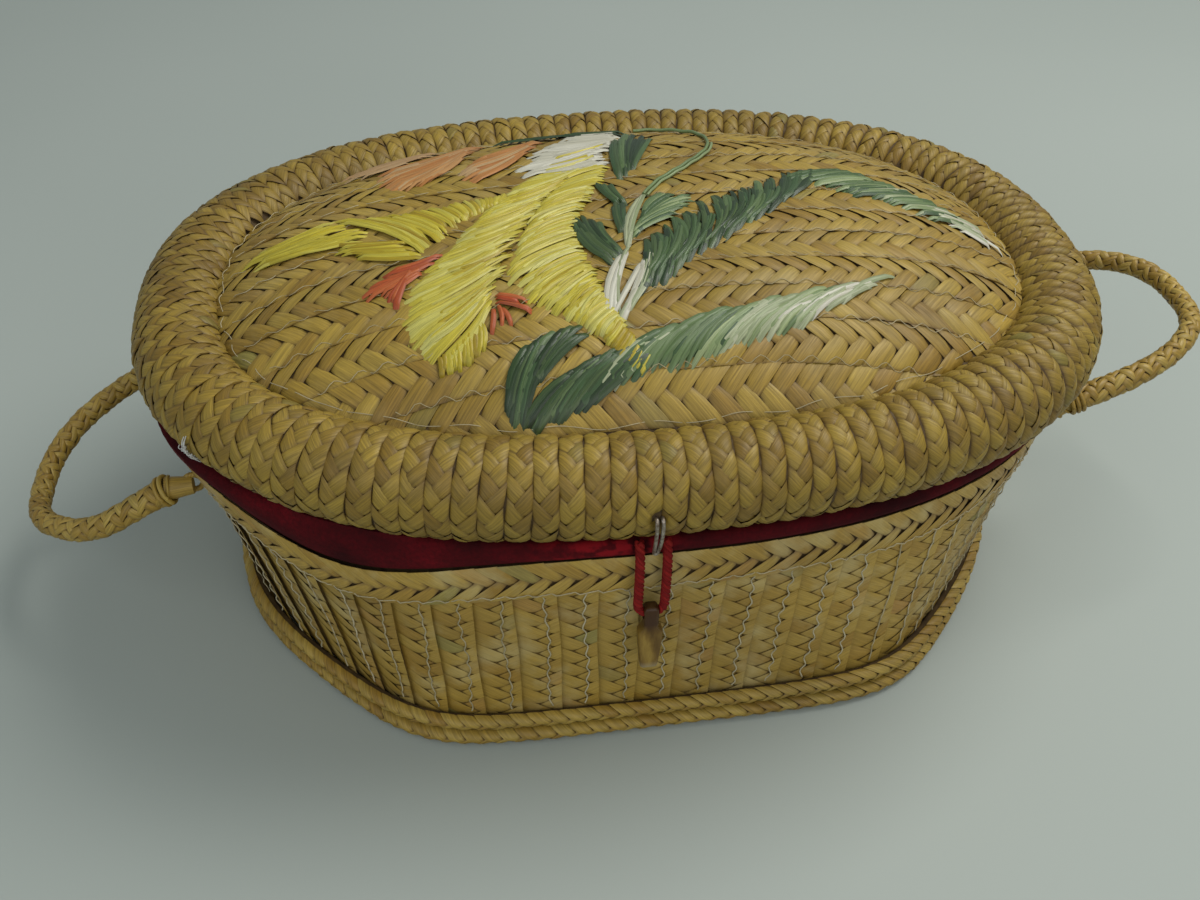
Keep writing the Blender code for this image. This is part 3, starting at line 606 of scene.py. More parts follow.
def horn_material():
    """Golden brown horn, darker in the neck, with long cloudy veins."""
    material, tree, shader = nodes_of("horn")
    place = object_place(tree)
    veins = noise(tree, scaled(tree, place, (260.0, 260.0, 70.0)), 1.0, 4.0)
    shades = ((0.3, 0.09, 0.045, 0.008), (0.52, 0.19, 0.11, 0.02), (0.72, 0.34, 0.22, 0.045))
    base = ramp(tree, veins, shades)
    height = tree.nodes.new("ShaderNodeSeparateXYZ")
    tree.links.new(place, height.inputs["Vector"])
    neck = level(tree, height.outputs["Z"], 0.0515, 0.0555, 0.0, 0.85)
    base = mix(tree, neck, base, (0.03, 0.008, 0.005))
    tip = level(tree, height.outputs["Z"], 0.0395, 0.0365, 0.0, 0.6)
    base = mix(tree, tip, base, (0.42, 0.36, 0.24))
    tree.links.new(base, shader.inputs["Base Color"])
    settle(shader, Roughness=0.36, Specular_IOR_Level=0.25)
    bump(tree, shader, veins, 0.12, 0.0002)
    return material


# Dark straw colour for grime patches and for the painted shade where strands meet
STRAW_GRIME_AND_SHADE = (0.1, 0.055, 0.014)
straw_dome = fibre_material(
    "straw_dome",
    (
        (0.0, 0.284, 0.168, 0.023),
        (0.35, 0.353, 0.229, 0.033),
        (0.9, 0.412, 0.281, 0.046),
        (0.97, 0.294, 0.178, 0.028),
        (1.0, 0.265, 0.224, 0.049),
    ),
    STRAW_GRIME_AND_SHADE,
    pale=0.15,
)
straw_rim = fibre_material(
    "straw_rim",
    (
        (0.0, 0.224, 0.133, 0.016),
        (0.4, 0.3, 0.195, 0.025),
        (0.9, 0.36, 0.242, 0.035),
        (0.97, 0.25, 0.152, 0.021),
        (1.0, 0.24, 0.19, 0.035),
    ),
    STRAW_GRIME_AND_SHADE,
)
straw_body = fibre_material(
    "straw_body",
    (
        (0.0, 0.36, 0.21, 0.033),
        (0.3, 0.41, 0.259, 0.045),
        (0.93, 0.47, 0.31, 0.061),
        (0.97, 0.42, 0.235, 0.05),
        (1.0, 0.33, 0.273, 0.072),
    ),
    (0.13, 0.075, 0.03),
    streak=0.3,
    pale=0.55,
)
straw_foot = fibre_material(
    "straw_foot",
    ((0.0, 0.323, 0.19, 0.028), (0.5, 0.392, 0.257, 0.044), (1.0, 0.451, 0.314, 0.064)),
    STRAW_GRIME_AND_SHADE,
)
straw_handle = fibre_material(
    "straw_handle",
    ((0.0, 0.339, 0.206, 0.03), (0.5, 0.414, 0.269, 0.048), (1.0, 0.493, 0.347, 0.076)),
    (0.1, 0.05, 0.012),
    roughness=0.42,
)
# Near-black straw for backings, cores and inner boards: painted shade where they show through gaps
painted_shade_backing = plain_material("painted_shade_backing", (0.1, 0.062, 0.022), (0.045, 0.026, 0.01), 0.8, 300.0)
# Darker straw under the wall strips: straw darkened as painted shade behind them
straw_under_shade = plain_material("straw_under_shade", (0.3, 0.2, 0.06), (0.15, 0.095, 0.03), 0.8, 300.0)
thread_white = fibre_material(
    "thread_white",
    ((0.0, 0.4, 0.33, 0.18), (1.0, 0.56, 0.5, 0.34)),
    (0.3, 0.24, 0.15),
    roughness=0.7,
    streak=0.3,
    soil=0.1,
    specular=0.2,
)


def raffia(name, stops, dark, roughness=0.4, streak=0.4, soil=0.12, specular=0.4):
    """Dyed raffia, with fine streaks along it."""
    return fibre_material(f"raffia_{name}", stops, dark, roughness, streak, soil, specular, across=3.4)


raffia_yellow = raffia(
    "yellow",
    (
        (0.0, 0.36, 0.25, 0.015),
        (0.25, 0.5, 0.4, 0.025),
        (0.7, 0.56, 0.48, 0.06),
        (1.0, 0.6, 0.56, 0.16),
    ),
    (0.2, 0.12, 0.012), 0.38, 0.45, 0.1,
)
raffia_white = raffia(
    "white", ((0.0, 0.46, 0.44, 0.33), (1.0, 0.62, 0.6, 0.5)), (0.25, 0.22, 0.14), streak=0.3, soil=0.1
)
raffia_orange = raffia(
    "orange",
    ((0.0, 0.4, 0.15, 0.035), (0.5, 0.47, 0.2, 0.055), (1.0, 0.52, 0.28, 0.1)),
    (0.2, 0.05, 0.015),
)
raffia_salmon = raffia(
    "salmon", ((0.0, 0.42, 0.24, 0.1), (1.0, 0.5, 0.33, 0.16)), (0.25, 0.12, 0.05), streak=0.35
)
raffia_red = raffia(
    "red", ((0.0, 0.38, 0.06, 0.014), (1.0, 0.5, 0.13, 0.035)), (0.14, 0.025, 0.01), 0.42, 0.35, 0.1
)
raffia_dark = raffia(
    "dark_green",
    ((0.0, 0.016, 0.034, 0.011), (0.6, 0.034, 0.068, 0.02), (1.0, 0.068, 0.11, 0.034)),
    (0.008, 0.018, 0.01), 0.36, 0.45, 0.08, 0.45,
)
raffia_pale = raffia(
    "pale_green",
    ((0.0, 0.1, 0.16, 0.06), (0.5, 0.19, 0.26, 0.105), (1.0, 0.3, 0.36, 0.17)),
    (0.05, 0.08, 0.04), 0.38, 0.4, 0.1,
)
raffia_mid = raffia(
    "green",
    ((0.0, 0.04, 0.085, 0.03), (0.6, 0.075, 0.13, 0.045), (1.0, 0.12, 0.18, 0.065)),
    (0.02, 0.035, 0.014), 0.38, 0.45, 0.1,
)
raffia_fade = raffia(
    "fading_green", ((0.0, 0.28, 0.33, 0.17), (1.0, 0.44, 0.46, 0.3)), (0.14, 0.15, 0.08)
)
velvet = velvet_material("velvet", (0.085, 0.0012, 0.004), (0.02, 0.0004, 0.0014))
red_cord = fibre_material(
    "red_cord",
    ((0.0, 0.2, 0.008, 0.008), (1.0, 0.3, 0.016, 0.012)),
    (0.06, 0.002, 0.004),
    roughness=0.75,
    streak=0.5,
    soil=0.2,
    specular=0.15,
    across=5.0,
)
card = plain_material("card", (0.3, 0.24, 0.16), (0.2, 0.15, 0.09), 0.9, 120.0)
steel = plain_material("steel_wire", (0.5, 0.46, 0.4), (0.16, 0.1, 0.06), 0.35, 900.0, metallic=0.9)
lint = plain_material("lint", (0.62, 0.62, 0.6), (0.4, 0.39, 0.36), 0.9, 700.0)
horn = horn_material()


# ---------------------------------------------------------------- wound rim

# The braid's strand and its pitch round the rim, with how much tighter it is wound in places
RIM_STRAND = 5.3
RIM_PITCH, TIGHTER_RIGHT, TIGHTER_BACK = 7.45, 2.1, 1.1
# The turns at which the winding ends under the lid, the staple's hole and the worn place
TURN_FIRST, TURN_LAST = math.radians(-166), math.radians(150)
HOLE_SPOT = np.array([-9.0, -110.5, 99.3])
TUFT_ANGLE, TUFT_TURN, TUFT_HAIRS = math.radians(212.5), math.radians(-12), 34


def rim_pitch(angle):
    """Distance from one turn of the braid to the next: tight on the right, wide in front and left."""
    right, back = near(angle, 0, 0.55), near(angle, math.pi / 2, 0.8)
    return RIM_PITCH - TIGHTER_RIGHT * right - TIGHTER_BACK * back


def dimple(points):
    """Press the braid in round the staple's hole."""
    away = np.linalg.norm(points - HOLE_SPOT, axis=-1)
    press = 2.4 * np.exp(-((away / 2.1) ** 4))
    points[..., 1] += press
    return points


def make_rim():
    """The narrow braid wound round the rim, in four lengths, over a dark backing that paints the shade
    between the wraps.
    """
    angle, length = arc_table(lambda a: oval(a, LID_A, LID_B))
    middle = (angle[1:] + angle[:-1]) / 2
    turns = np.concatenate([[0], np.cumsum(np.diff(length) / rim_pitch(middle))])
    count = int(round(turns[-1]))
    turns *= count / turns[-1]
    quarters = {"right": Soup(), "back": Soup(), "left": Soup(), "front": Soup()}
    round_length = RIM_RADIUS * (TURN_LAST - TURN_FIRST)
    wobble = rng.uniform(-1, 1, (count, 3))
    for number in range(count):
        centre = float(np.interp((number + 0.5) % count, turns, angle))
        pitch = float(rim_pitch(np.array(centre)))
        side = math.degrees(centre) % 360
        key = list(quarters)[int((side + 45) % 360 // 90)]
        right, left = near(centre, 0, 0.75), near(centre, math.pi, 0.8)
        rightward = 0.5 + 0.5 * math.cos(centre)
        # line and groove set the painted shade: deeper along the strands' sides on the left and in the
        # grooves on the right.
        style = dict(
            lift=-0.35 + 0.14 * wobble[number, 1] - 0.1,
            bulge=0.36,
            sink=0.7 + 0.25 * left,
            tilt=0.24,
            drop=0.25 * rightward,
            slope=0.2,
            round=0.5 + 1.5 * rightward,
            groove=0.2 + 0.75 * rightward,
            line=0.66 + 0.16 * left,
            gap=0.0,
            taper=0.1 + 0.1 * rightward,
            loose=0.2,
        )
        lean = 0.5 + 0.4 * right - 0.6 * left + 0.08 * wobble[number, 0]
        strand = RIM_STRAND * (1 - 0.12 * right - 0.12 * left)
        columns = int(round_length / (strand * ROOT))
        half = (0.5 + 0.02 * left) * pitch
        low, high = -half * (1 + 0.5 * right), half * (1 - 0.5 * right)
        middle_t = 0.5 * (low + high)

        def place(s, t, h, number=number, pitch=pitch, lean=lean, middle_t=middle_t):
            turn = TURN_FIRST + s / RIM_RADIUS
            wave = 0.3 * np.sin(turn * 2.3 + number) + 0.25 * np.sin(turn * 7.1 + 2.7 * number)
            spot = number + 0.5 + (t - middle_t + wave) / pitch + lean * (turn - math.pi / 2) / TURN
            where = np.interp(spot % count, turns, angle)
            return dimple(rim(where, RIM_RADIUS + h, turn))

        plait(quarters[key], place, columns, strand, low, high, style, first=rng.uniform(0, 0.8))
    for key, soup in quarters.items():
        belong(soup.piece(f"rim_braid_{key}", [straw_rim]), "straw_rim", "lid", "rim_wrap", "rim_core")
    # The backing is painted shade: a dark sheet just under the braid, seen through its gaps.
    backing = Soup()
    stations, sides = 220, 22
    where = round_turn(stations)[:, None]
    turn = np.linspace(TURN_FIRST - 0.2, TURN_LAST + 0.3, sides)[None]
    grid = rim(where + 0 * turn, (RIM_RADIUS - 1.35) + 0 * (where + turn), turn + 0 * where)
    sheet_body(backing, np.swapaxes(grid, 0, 1), 0.8)
    belong(backing.piece("rim_backing", [painted_shade_backing]), "straw_rim", "lid")


def make_tuft():
    """Pale stuffing showing through a worn place low on the rim's left."""
    soup = Soup()
    for _ in range(TUFT_HAIRS):
        angle = TUFT_ANGLE + rng.normal(0, 0.008)
        turn = TUFT_TURN + rng.normal(0, 0.1)
        bend = rng.normal(0, 0.008), rng.normal(0, 0.3)
        t = np.linspace(0, 1, 6)
        height = RIM_RADIUS + 0.1 + 0.9 * np.sin(math.pi * t)
        line = rim(angle + bend[0] * t, height, turn + bend[1] * t)
        tube(soup, line, 0.17, 5, tone=rng.uniform(0.6, 1))
    belong(soup.piece("stuffing_tuft", [lint]), "stuffing", "lid")


# ---------------------------------------------------------------- dome


def make_dome():
    """Thirteen lengths of wide plait sewn side by side, with thread along their seams."""
    pitch = 2 * DOME_B / ROW_COUNT
    strand = 5.3
    step = strand * ROOT
    threads = Soup()
    for row in range(1, ROW_COUNT + 1):
        middle = -DOME_B + (row - 0.5) * pitch
        inner_y = min(abs(middle) - 0.5 * pitch, DOME_B)
        reach = DOME_A * (1 - (max(inner_y, 0) / DOME_B) ** OVAL_POWER) ** (1 / OVAL_POWER)
        columns = int(2 * reach / step) + 7
        way = 1 if row % 2 else -1
        soup = Soup()
        wobble = rng.uniform(0, TURN, 2)
        style = dict(
            lift=-0.5, bulge=0.5, sink=0.85, tilt=0.38, drop=0.1, slope=0.35 * way, round=0.5,
            groove=0.5, line=0.55, flat=0.3, gap=0.0, taper=0.18, loose=0.12,
        )
        if way < 0:
            style["lift"] += 0.35

        def place(s, t, h, middle=middle, way=way, reach=reach, wobble=wobble):
            x = way * (s - reach - 2.5 * step)
            y = middle - way * t + 0.35 * np.sin(x / 31 + wobble[0]) + 0.2 * np.sin(x / 11 + wobble[1])
            share = dome_share(x, y)
            points = dome(x, y, h)
            outside = share.reshape(share.shape[0], -1).min(axis=1) > 1.003
            points[outside] = np.nan
            return points

        half = pitch / 2 + 0.35
        plait(soup, place, columns, strand, -half, half, style, first=rng.uniform(0, 0.6))
        item = soup.piece(f"dome_plait_{row:02d}", [straw_dome])
        belong(item, "straw_dome", "lid", f"dome_row_{row:02d}")
        if row < ROW_COUNT:
            y = middle + pitch / 2
            span = DOME_A * (1 - (abs(y) / DOME_B) ** OVAL_POWER) ** (1 / OVAL_POWER) - 3
            x = np.arange(-span, span, 1.4)
            seam = y + 0.9 * np.sin(x * TURN / step + wobble[0]) + 0.5 * np.sin(x / 17)
            lift = 0.4 * np.sin(x * TURN / step + wobble[1])
            tube(threads, dome(x, seam, lift), 0.12, 5, tone=rng.uniform(0, 0.6))
    # The backing is painted shade: a dark sheet just under the plaits, seen through their gaps.
    backing = Soup()
    round_dome = round_turn(180)
    rows = []
    for share in (0.001, 0.2, 0.4, 0.6, 0.75, 0.88, 0.96, 0.995):
        flat = oval(round_dome, DOME_A * share, DOME_B * share)
        rows.append(np.stack([flat[:, 0], flat[:, 1], dome_z(flat[:, 0], flat[:, 1]) - 1.25], -1))
    flat = oval(round_dome, DOME_A + 1.9, DOME_B + 1.9)
    rows.append(np.stack([flat[:, 0], flat[:, 1], np.full(180, 107.6)], -1))
    sheet_body(backing, np.stack(rows)[:, ::-1], 0.6)
    belong(backing.piece("dome_backing", [painted_shade_backing]), "straw_dome", "lid")
    angle = round_turn(560)
    ring = oval(angle, DOME_A - 0.4, DOME_B - 0.4)
    lift = 0.4 * np.sin(angle * 74)
    edge = dome(ring[:, 0] + 0.5 * np.sin(angle * 37), ring[:, 1] + 0.5 * np.cos(angle * 31), lift)
    tube(threads, edge, 0.13, 5, closed=True)
    belong(threads.piece("dome_sewing", [thread_white]), "thread", "lid")


# ---------------------------------------------------------------- wall

# The strips' height and the shares of a strip on each side of its line; the band's heights
STRIP_LOW_Z, STRIP_HIGH_Z = 9.5, 70.0
BEFORE_SEAM, AFTER_SEAM = 0.68, 0.32
BAND_MIDDLE_Z, BAND_LOW_Z, BAND_HIGH_Z = 72.2, 65.2, 78.9
WALL_TABLE = arc_table(lambda a: wall(a, np.full_like(a, WALL_TOP_Z / 2), 0.0)[..., :2])
WALL_ROUND = WALL_TABLE[1][-1]


def make_wall():
    """Upright strips of plait, each lapped over the next, with a wavy thread down each seam."""
    pitch = WALL_ROUND / STRIP_COUNT
    strand, squash = 7.3, 0.62
    step = strand * ROOT * squash
    columns = int((STRIP_HIGH_Z - STRIP_LOW_Z + 16) / step) + 1
    panels = (
        ("right", range(-6, 6)),
        ("back", range(6, 26)),
        ("left", range(26, 38)),
        ("front", range(38, 58)),
    )
    threads = Soup()
    for key, strips in panels:
        soup = Soup()
        for strip in strips:
            wave = rng.uniform(0, TURN, 3)
            start = (strip + BEFORE_SEAM) * pitch + rng.uniform(-0.5, 0.5)
            first = rng.uniform(0, 1)
            style = dict(
                lift=-0.95, bulge=0.32, sink=0.5, seam=0.55, tilt=0.12, drop=0.0, slope=1.35,
                line=0.4, flat=0.96, gap=-0.02, taper=0.13, slit=0.12, tuck=0.0, loose=0.03,
            )

            def place(s, t, h, start=start, wave=wave):
                z = STRIP_LOW_Z + squash * s - 15
                length = start + t + 0.3 * np.sin(z / 9 + wave[0])
                points = wall(angle_at(WALL_TABLE, length), np.clip(z, 7.5, 69.0), h)
                whole = z.reshape(z.shape[0], -1)
                points[(whole.max(axis=1) < 8.5) | (whole.min(axis=1) > 68.0)] = np.nan
                return points

            low, high = -BEFORE_SEAM * pitch - 0.2, AFTER_SEAM * pitch + 1.1
            plait(soup, place, columns, strand, low, high, style, first=first)
            z = np.arange(11.5, 65.5, 1.1)
            sway = 1.3 + 0.45 * np.sin(z * TURN / step + wave[1]) + 0.5 * np.sin(z / 7 + wave[2])
            bob = 0.42 + 0.3 * np.sin(z * TURN / step + wave[2])
            path = wall(angle_at(WALL_TABLE, start + sway), z, bob)
            tube(threads, path, 0.23, 5, tone=rng.uniform(0.2, 1))
        item = soup.piece(f"wall_straw_{key}", [straw_body])
        belong(item, "straw_body", "basket", f"wall_plait_{key}")
    # The backing is straw under the strips, darkened as painted shade for their gaps.
    backing = Soup()
    angle = round_turn(300)[None]
    height = np.linspace(8, 68, 9)[:, None]
    grid = wall(angle + 0 * height, height + 0 * angle, -1.5)
    sheet_body(backing, grid[:, ::-1], 0.5)
    belong(backing.piece("wall_backing", [straw_under_shade]), "straw_body", "basket")
    belong(threads.piece("wall_sewing", [thread_white]), "thread", "basket")


def make_band():
    """The level plait round the wall's top, sewn along its lower edge."""
    strand = 4.5
    step = strand * ROOT
    columns = int(round(WALL_ROUND / step))
    stretch = WALL_ROUND / (columns * step)
    soup = Soup()
    style = dict(
        lift=1.15, bulge=0.35, sink=0.9, tilt=0.2, drop=0.1, round=0.3, line=0.85, flat=0.55,
        gap=-0.01, taper=0.3, slit=0.4,
    )

    def place(s, t, h):
        return wall(angle_at(WALL_TABLE, -s * stretch), BAND_MIDDLE_Z + t, h)

    plait(soup, place, columns, strand, -7.4, 7.3, style)
    low, high = BAND_LOW_Z, BAND_HIGH_Z
    backing_ring(soup, ((0.0, low), (0.3, low), (0.3, high), (0.0, high)))
    item = soup.piece("top_band_plait", [straw_body, painted_shade_backing])
    belong(item, "straw_body", "basket", "top_band")
    threads = Soup()
    length = np.arange(0, WALL_ROUND, 1.3)
    z = 66.2 + 0.5 * np.sin(length * TURN / step) + 0.35 * np.sin(length / 13)
    lift = 1.3 + 0.3 * np.sin(length * TURN / step * 2)
    tube(threads, wall(angle_at(WALL_TABLE, length), z, lift), 0.2, 5, closed=True, tone=0.4)
    belong(threads.piece("band_sewing", [thread_white]), "thread", "basket")


def backing_ring(soup, section):
    """A dark closed ring of painted shade behind a plait, in its second material; section lists
    (proud, height).
    """
    count = 260
    angle = angle_at(WALL_TABLE, np.arange(count) * WALL_ROUND / count)
    size = len(section)
    co = np.stack([wall(angle, np.full(count, z), proud) for proud, z in section], 1)
    faces = []
    for i in range(count):
        n = (i + 1) % count
        for j in range(size):
            k = (j + 1) % size
            faces.append([i * size + j, n * size + j, n * size + k, i * size + k])
    blank = np.zeros(count * size)
    flat = co.reshape(-1, 3)
    soup.add(flat[None], faces, flat, blank + 0.5, blank, np.zeros((count * size, 2)), slot=1)


def make_foot():
    """Two round braids, one on the other."""
    # Name, distance out and height of the middle, half width and half height, strand, start
    shapes = (
        ("upper", 2.3, 8.55, 3.2, 2.45, 3.75, 0.0),
        ("lower", 2.9, 2.85, 3.8, 2.4, 3.95, 2.0),
    )
    for key, out, z0, reach, rise, strand, shift in shapes:
        step = strand * ROOT
        columns = int(round(WALL_ROUND / step))
        stretch = WALL_ROUND / (columns * step)
        soup = Soup()
        style = dict(
            lift=-0.2, bulge=0.4, sink=0.75, tilt=0.3, drop=0.1, line=0.6, flat=0.3, gap=0.0,
            taper=0.22,
        )

        def place(s, t, h, out=out, z0=z0, reach=reach, rise=rise, stretch=stretch, shift=shift):
            lean = t / 3.0
            z = z0 + (rise + h) * np.sin(lean)
            proud = out + (reach + h) * np.cos(lean)
            return wall(angle_at(WALL_TABLE, -s * stretch + shift), z, proud)

        plait(soup, place, columns, strand, -4.9, 4.9, style)
        core = []
        for i in range(8):
            lean = TURN * i / 8
            core.append((out + (reach - 0.9) * math.cos(lean), z0 + (rise - 0.7) * math.sin(lean)))
        backing_ring(soup, core)
        item = soup.piece(f"foot_straw_{key}", [straw_foot, painted_shade_backing])
        belong(item, "straw_rim", "basket", f"foot_braid_{key}")


def make_underside():
    """Rows of plait across the underside."""
    strand, pitch, half_span = 6.4, 13.0, 150
    soup = Soup()
    style = dict(
        lift=0.0, bulge=0.4, sink=0.5, tilt=0.2, drop=0.3, gap=0.03, taper=0.1,
    )
    a, b = FOOT_A - 2.5, FOOT_B - 2.5
    for row in range(-7, 8):
        y0 = row * pitch
        way = 1 if row % 2 else -1

        def place(s, t, h, y0=y0, way=way):
            x = way * (s - half_span)
            y = y0 - way * t
            angle = np.arctan2(y / b, x / a)
            limit = foot_outline(angle, a, b)
            share = np.hypot(x, y) / np.maximum(np.hypot(limit[..., 0], limit[..., 1]), 1e-6)
            scale = np.minimum(1, 0.995 / np.maximum(share, 1e-6))
            points = np.stack([x * scale, y * scale, 1.5 - h], -1)
            points[share.reshape(share.shape[0], -1).min(axis=1) > 0.97] = np.nan
            return points

        columns = int(2 * half_span / (strand * ROOT))
        plait(soup, place, columns, strand, -pitch / 2 - 0.2, pitch / 2 + 0.2, style)
    belong(soup.piece("underside_straw", [straw_body]), "straw_body", "basket", "base_plait")


# ---------------------------------------------------------------- embroidery


def smooth(points, count):
    """Evenly spaced points on a smooth line through a few."""
    points = np.asarray(points, float)
    if len(points) == 2:
        return points[0] + (points[1] - points[0]) * np.linspace(0, 1, count)[:, None]
    ends = np.concatenate([[2 * points[0] - points[1]], points, [2 * points[-1] - points[-2]]])
    fine = []
    for i in range(1, len(ends) - 2):
        a, b, c, d = ends[i - 1 : i + 3]
        t = np.linspace(0, 1, 24, endpoint=False)[:, None]
        bend = 2 * a - 5 * b + 4 * c - d
        twist = 3 * b - a - 3 * c + d
        fine.append(0.5 * (2 * b + (c - a) * t + bend * t**2 + twist * t**3))
    fine = np.concatenate(fine + [points[-1:]])
    length = lengths_to(fine)
    return along_line(np.linspace(0, length[-1], count), length, fine)


# Where a stitch has its vertices, along it and across it
STITCH_U = np.array([0.0, 0.05, 0.16, 0.34, 0.5, 0.66, 0.84, 0.95, 1.0])
STITCH_V = np.array([0.0, 0.2, 0.5, 0.8, 1.0])


def stitches(
    soup, start, finish, width, bow,
    lift=0.7, slots=(0,), tone=(0.0, 1.0), layer=0.0, clump=0, ragged=0.06,
):
    """Flat raffia stitches from each start point to its finish point.

    clump draws the ends of that many neighbours together, and ragged spreads them along their length.
    """
    start, finish = np.asarray(start, float), np.asarray(finish, float)
    count = len(start)
    if clump:
        tuft = np.arange(count) // clump
        for ends, pull in ((start, 0.35), (finish, 0.6)):
            means = np.stack([ends[tuft == k].mean(axis=0) for k in tuft])
            ends += (means - ends) * pull
    whole = finish - start
    start = start + rng.uniform(-0.4, 0.4, start.shape)
    start = start + whole * rng.uniform(-0.3, 1, (count, 1)) * ragged
    finish = finish + rng.uniform(-0.5, 0.5, finish.shape)
    finish = finish - whole * rng.uniform(-0.5, 1.4, (count, 1)) * ragged
    u, v = STITCH_U, STITCH_V
    along = finish - start
    length = np.linalg.norm(along, axis=1, keepdims=True)
    along = along / np.maximum(length, 1e-6)
    across = np.stack([-along[:, 1], along[:, 0]], -1)
    bend = (bow + rng.uniform(-0.04, 0.04, count))[:, None] * length * np.sin(np.pi * u)[None]
    middle = start[:, None] + (finish - start)[:, None] * u[None, :, None]
    middle = middle + across[:, None] * bend[..., None]
    wide = width * (1 + rng.uniform(-0.2, 0.25, count))[:, None]
    wide = wide * (0.45 + 0.55 * np.sin(np.pi * u) ** 0.5)[None]
    spread = (v - 0.5)[None, None] * wide[..., None]
    spot = middle[:, :, None] + across[:, None, None] * spread[..., None]
    rise = np.clip(np.sin(np.pi * u) * 2.6, 0, 1)
    fold = 0.12 * np.cos(v * 9 + 2)
    tip = rng.uniform(-0.25, 0.25, count)
    height = (
        -0.75
        + (lift + 0.75 + layer + 0.12 * rng.uniform(-1, 1, count))[:, None, None] * rise[None, :, None]
        + (0.42 * (1 - np.abs(2 * v - 1) ** 2.4) + fold)[None, None] * rise[None, :, None]
        + tip[:, None, None] * (v - 0.5)[None, None] * rise[None, :, None]
    )
    points = dome(spot[..., 0], spot[..., 1], height)
    shape = points.shape[:3]
    tone = np.broadcast_to(rng.uniform(tone[0], tone[1], count)[:, None, None], shape)
    key = np.arange(count) * 5.7 + rng.uniform(0, 90)
    run = (u[None] * length)[..., None]
    grain = np.stack(np.broadcast_arrays(run, spread, key[:, None, None]), -1)
    # The edge attribute is painted shade towards each stitch's sides.
    edge = np.broadcast_to((0.7 * np.abs(2 * v - 1) ** 4)[None, None], shape)
    uv = np.broadcast_to(np.stack(np.broadcast_arrays(u[:, None], v[None]), -1), shape + (2,))
    faces = ribbon_faces(len(u), len(v))
    flat = points.reshape(count, -1, 3)
    for i in range(count):
        turned = outward_faces(flat[i], faces, np.array([0.0, 0.0, 1.0]))
        soup.add(
            flat[i : i + 1],
            turned,
            grain[i].reshape(1, -1, 3),
            tone[i].reshape(1, -1),
            edge[i].reshape(1, -1),
            uv[i].reshape(1, -1, 2),
            int(slots[rng.randint(len(slots))]),
        )


def embroider(name, node, slot, materials, groups):
    """One embroidered shape: groups of stitches, each between two edges."""
    soup = Soup()
    nodes = [node] if node else []
    for begin, finish, count, width, bow, options in groups:
        stitches(soup, smooth(begin, count), smooth(finish, count), width, bow, **options)
    belong(soup.piece(name, materials, smooth=75), slot, "lid", *nodes)


def fan(begin, finish, count, width, bow=0.0, **options):
    """One group of stitches, from a line through begin to a line through finish."""
    return begin, finish, count, width, bow, options


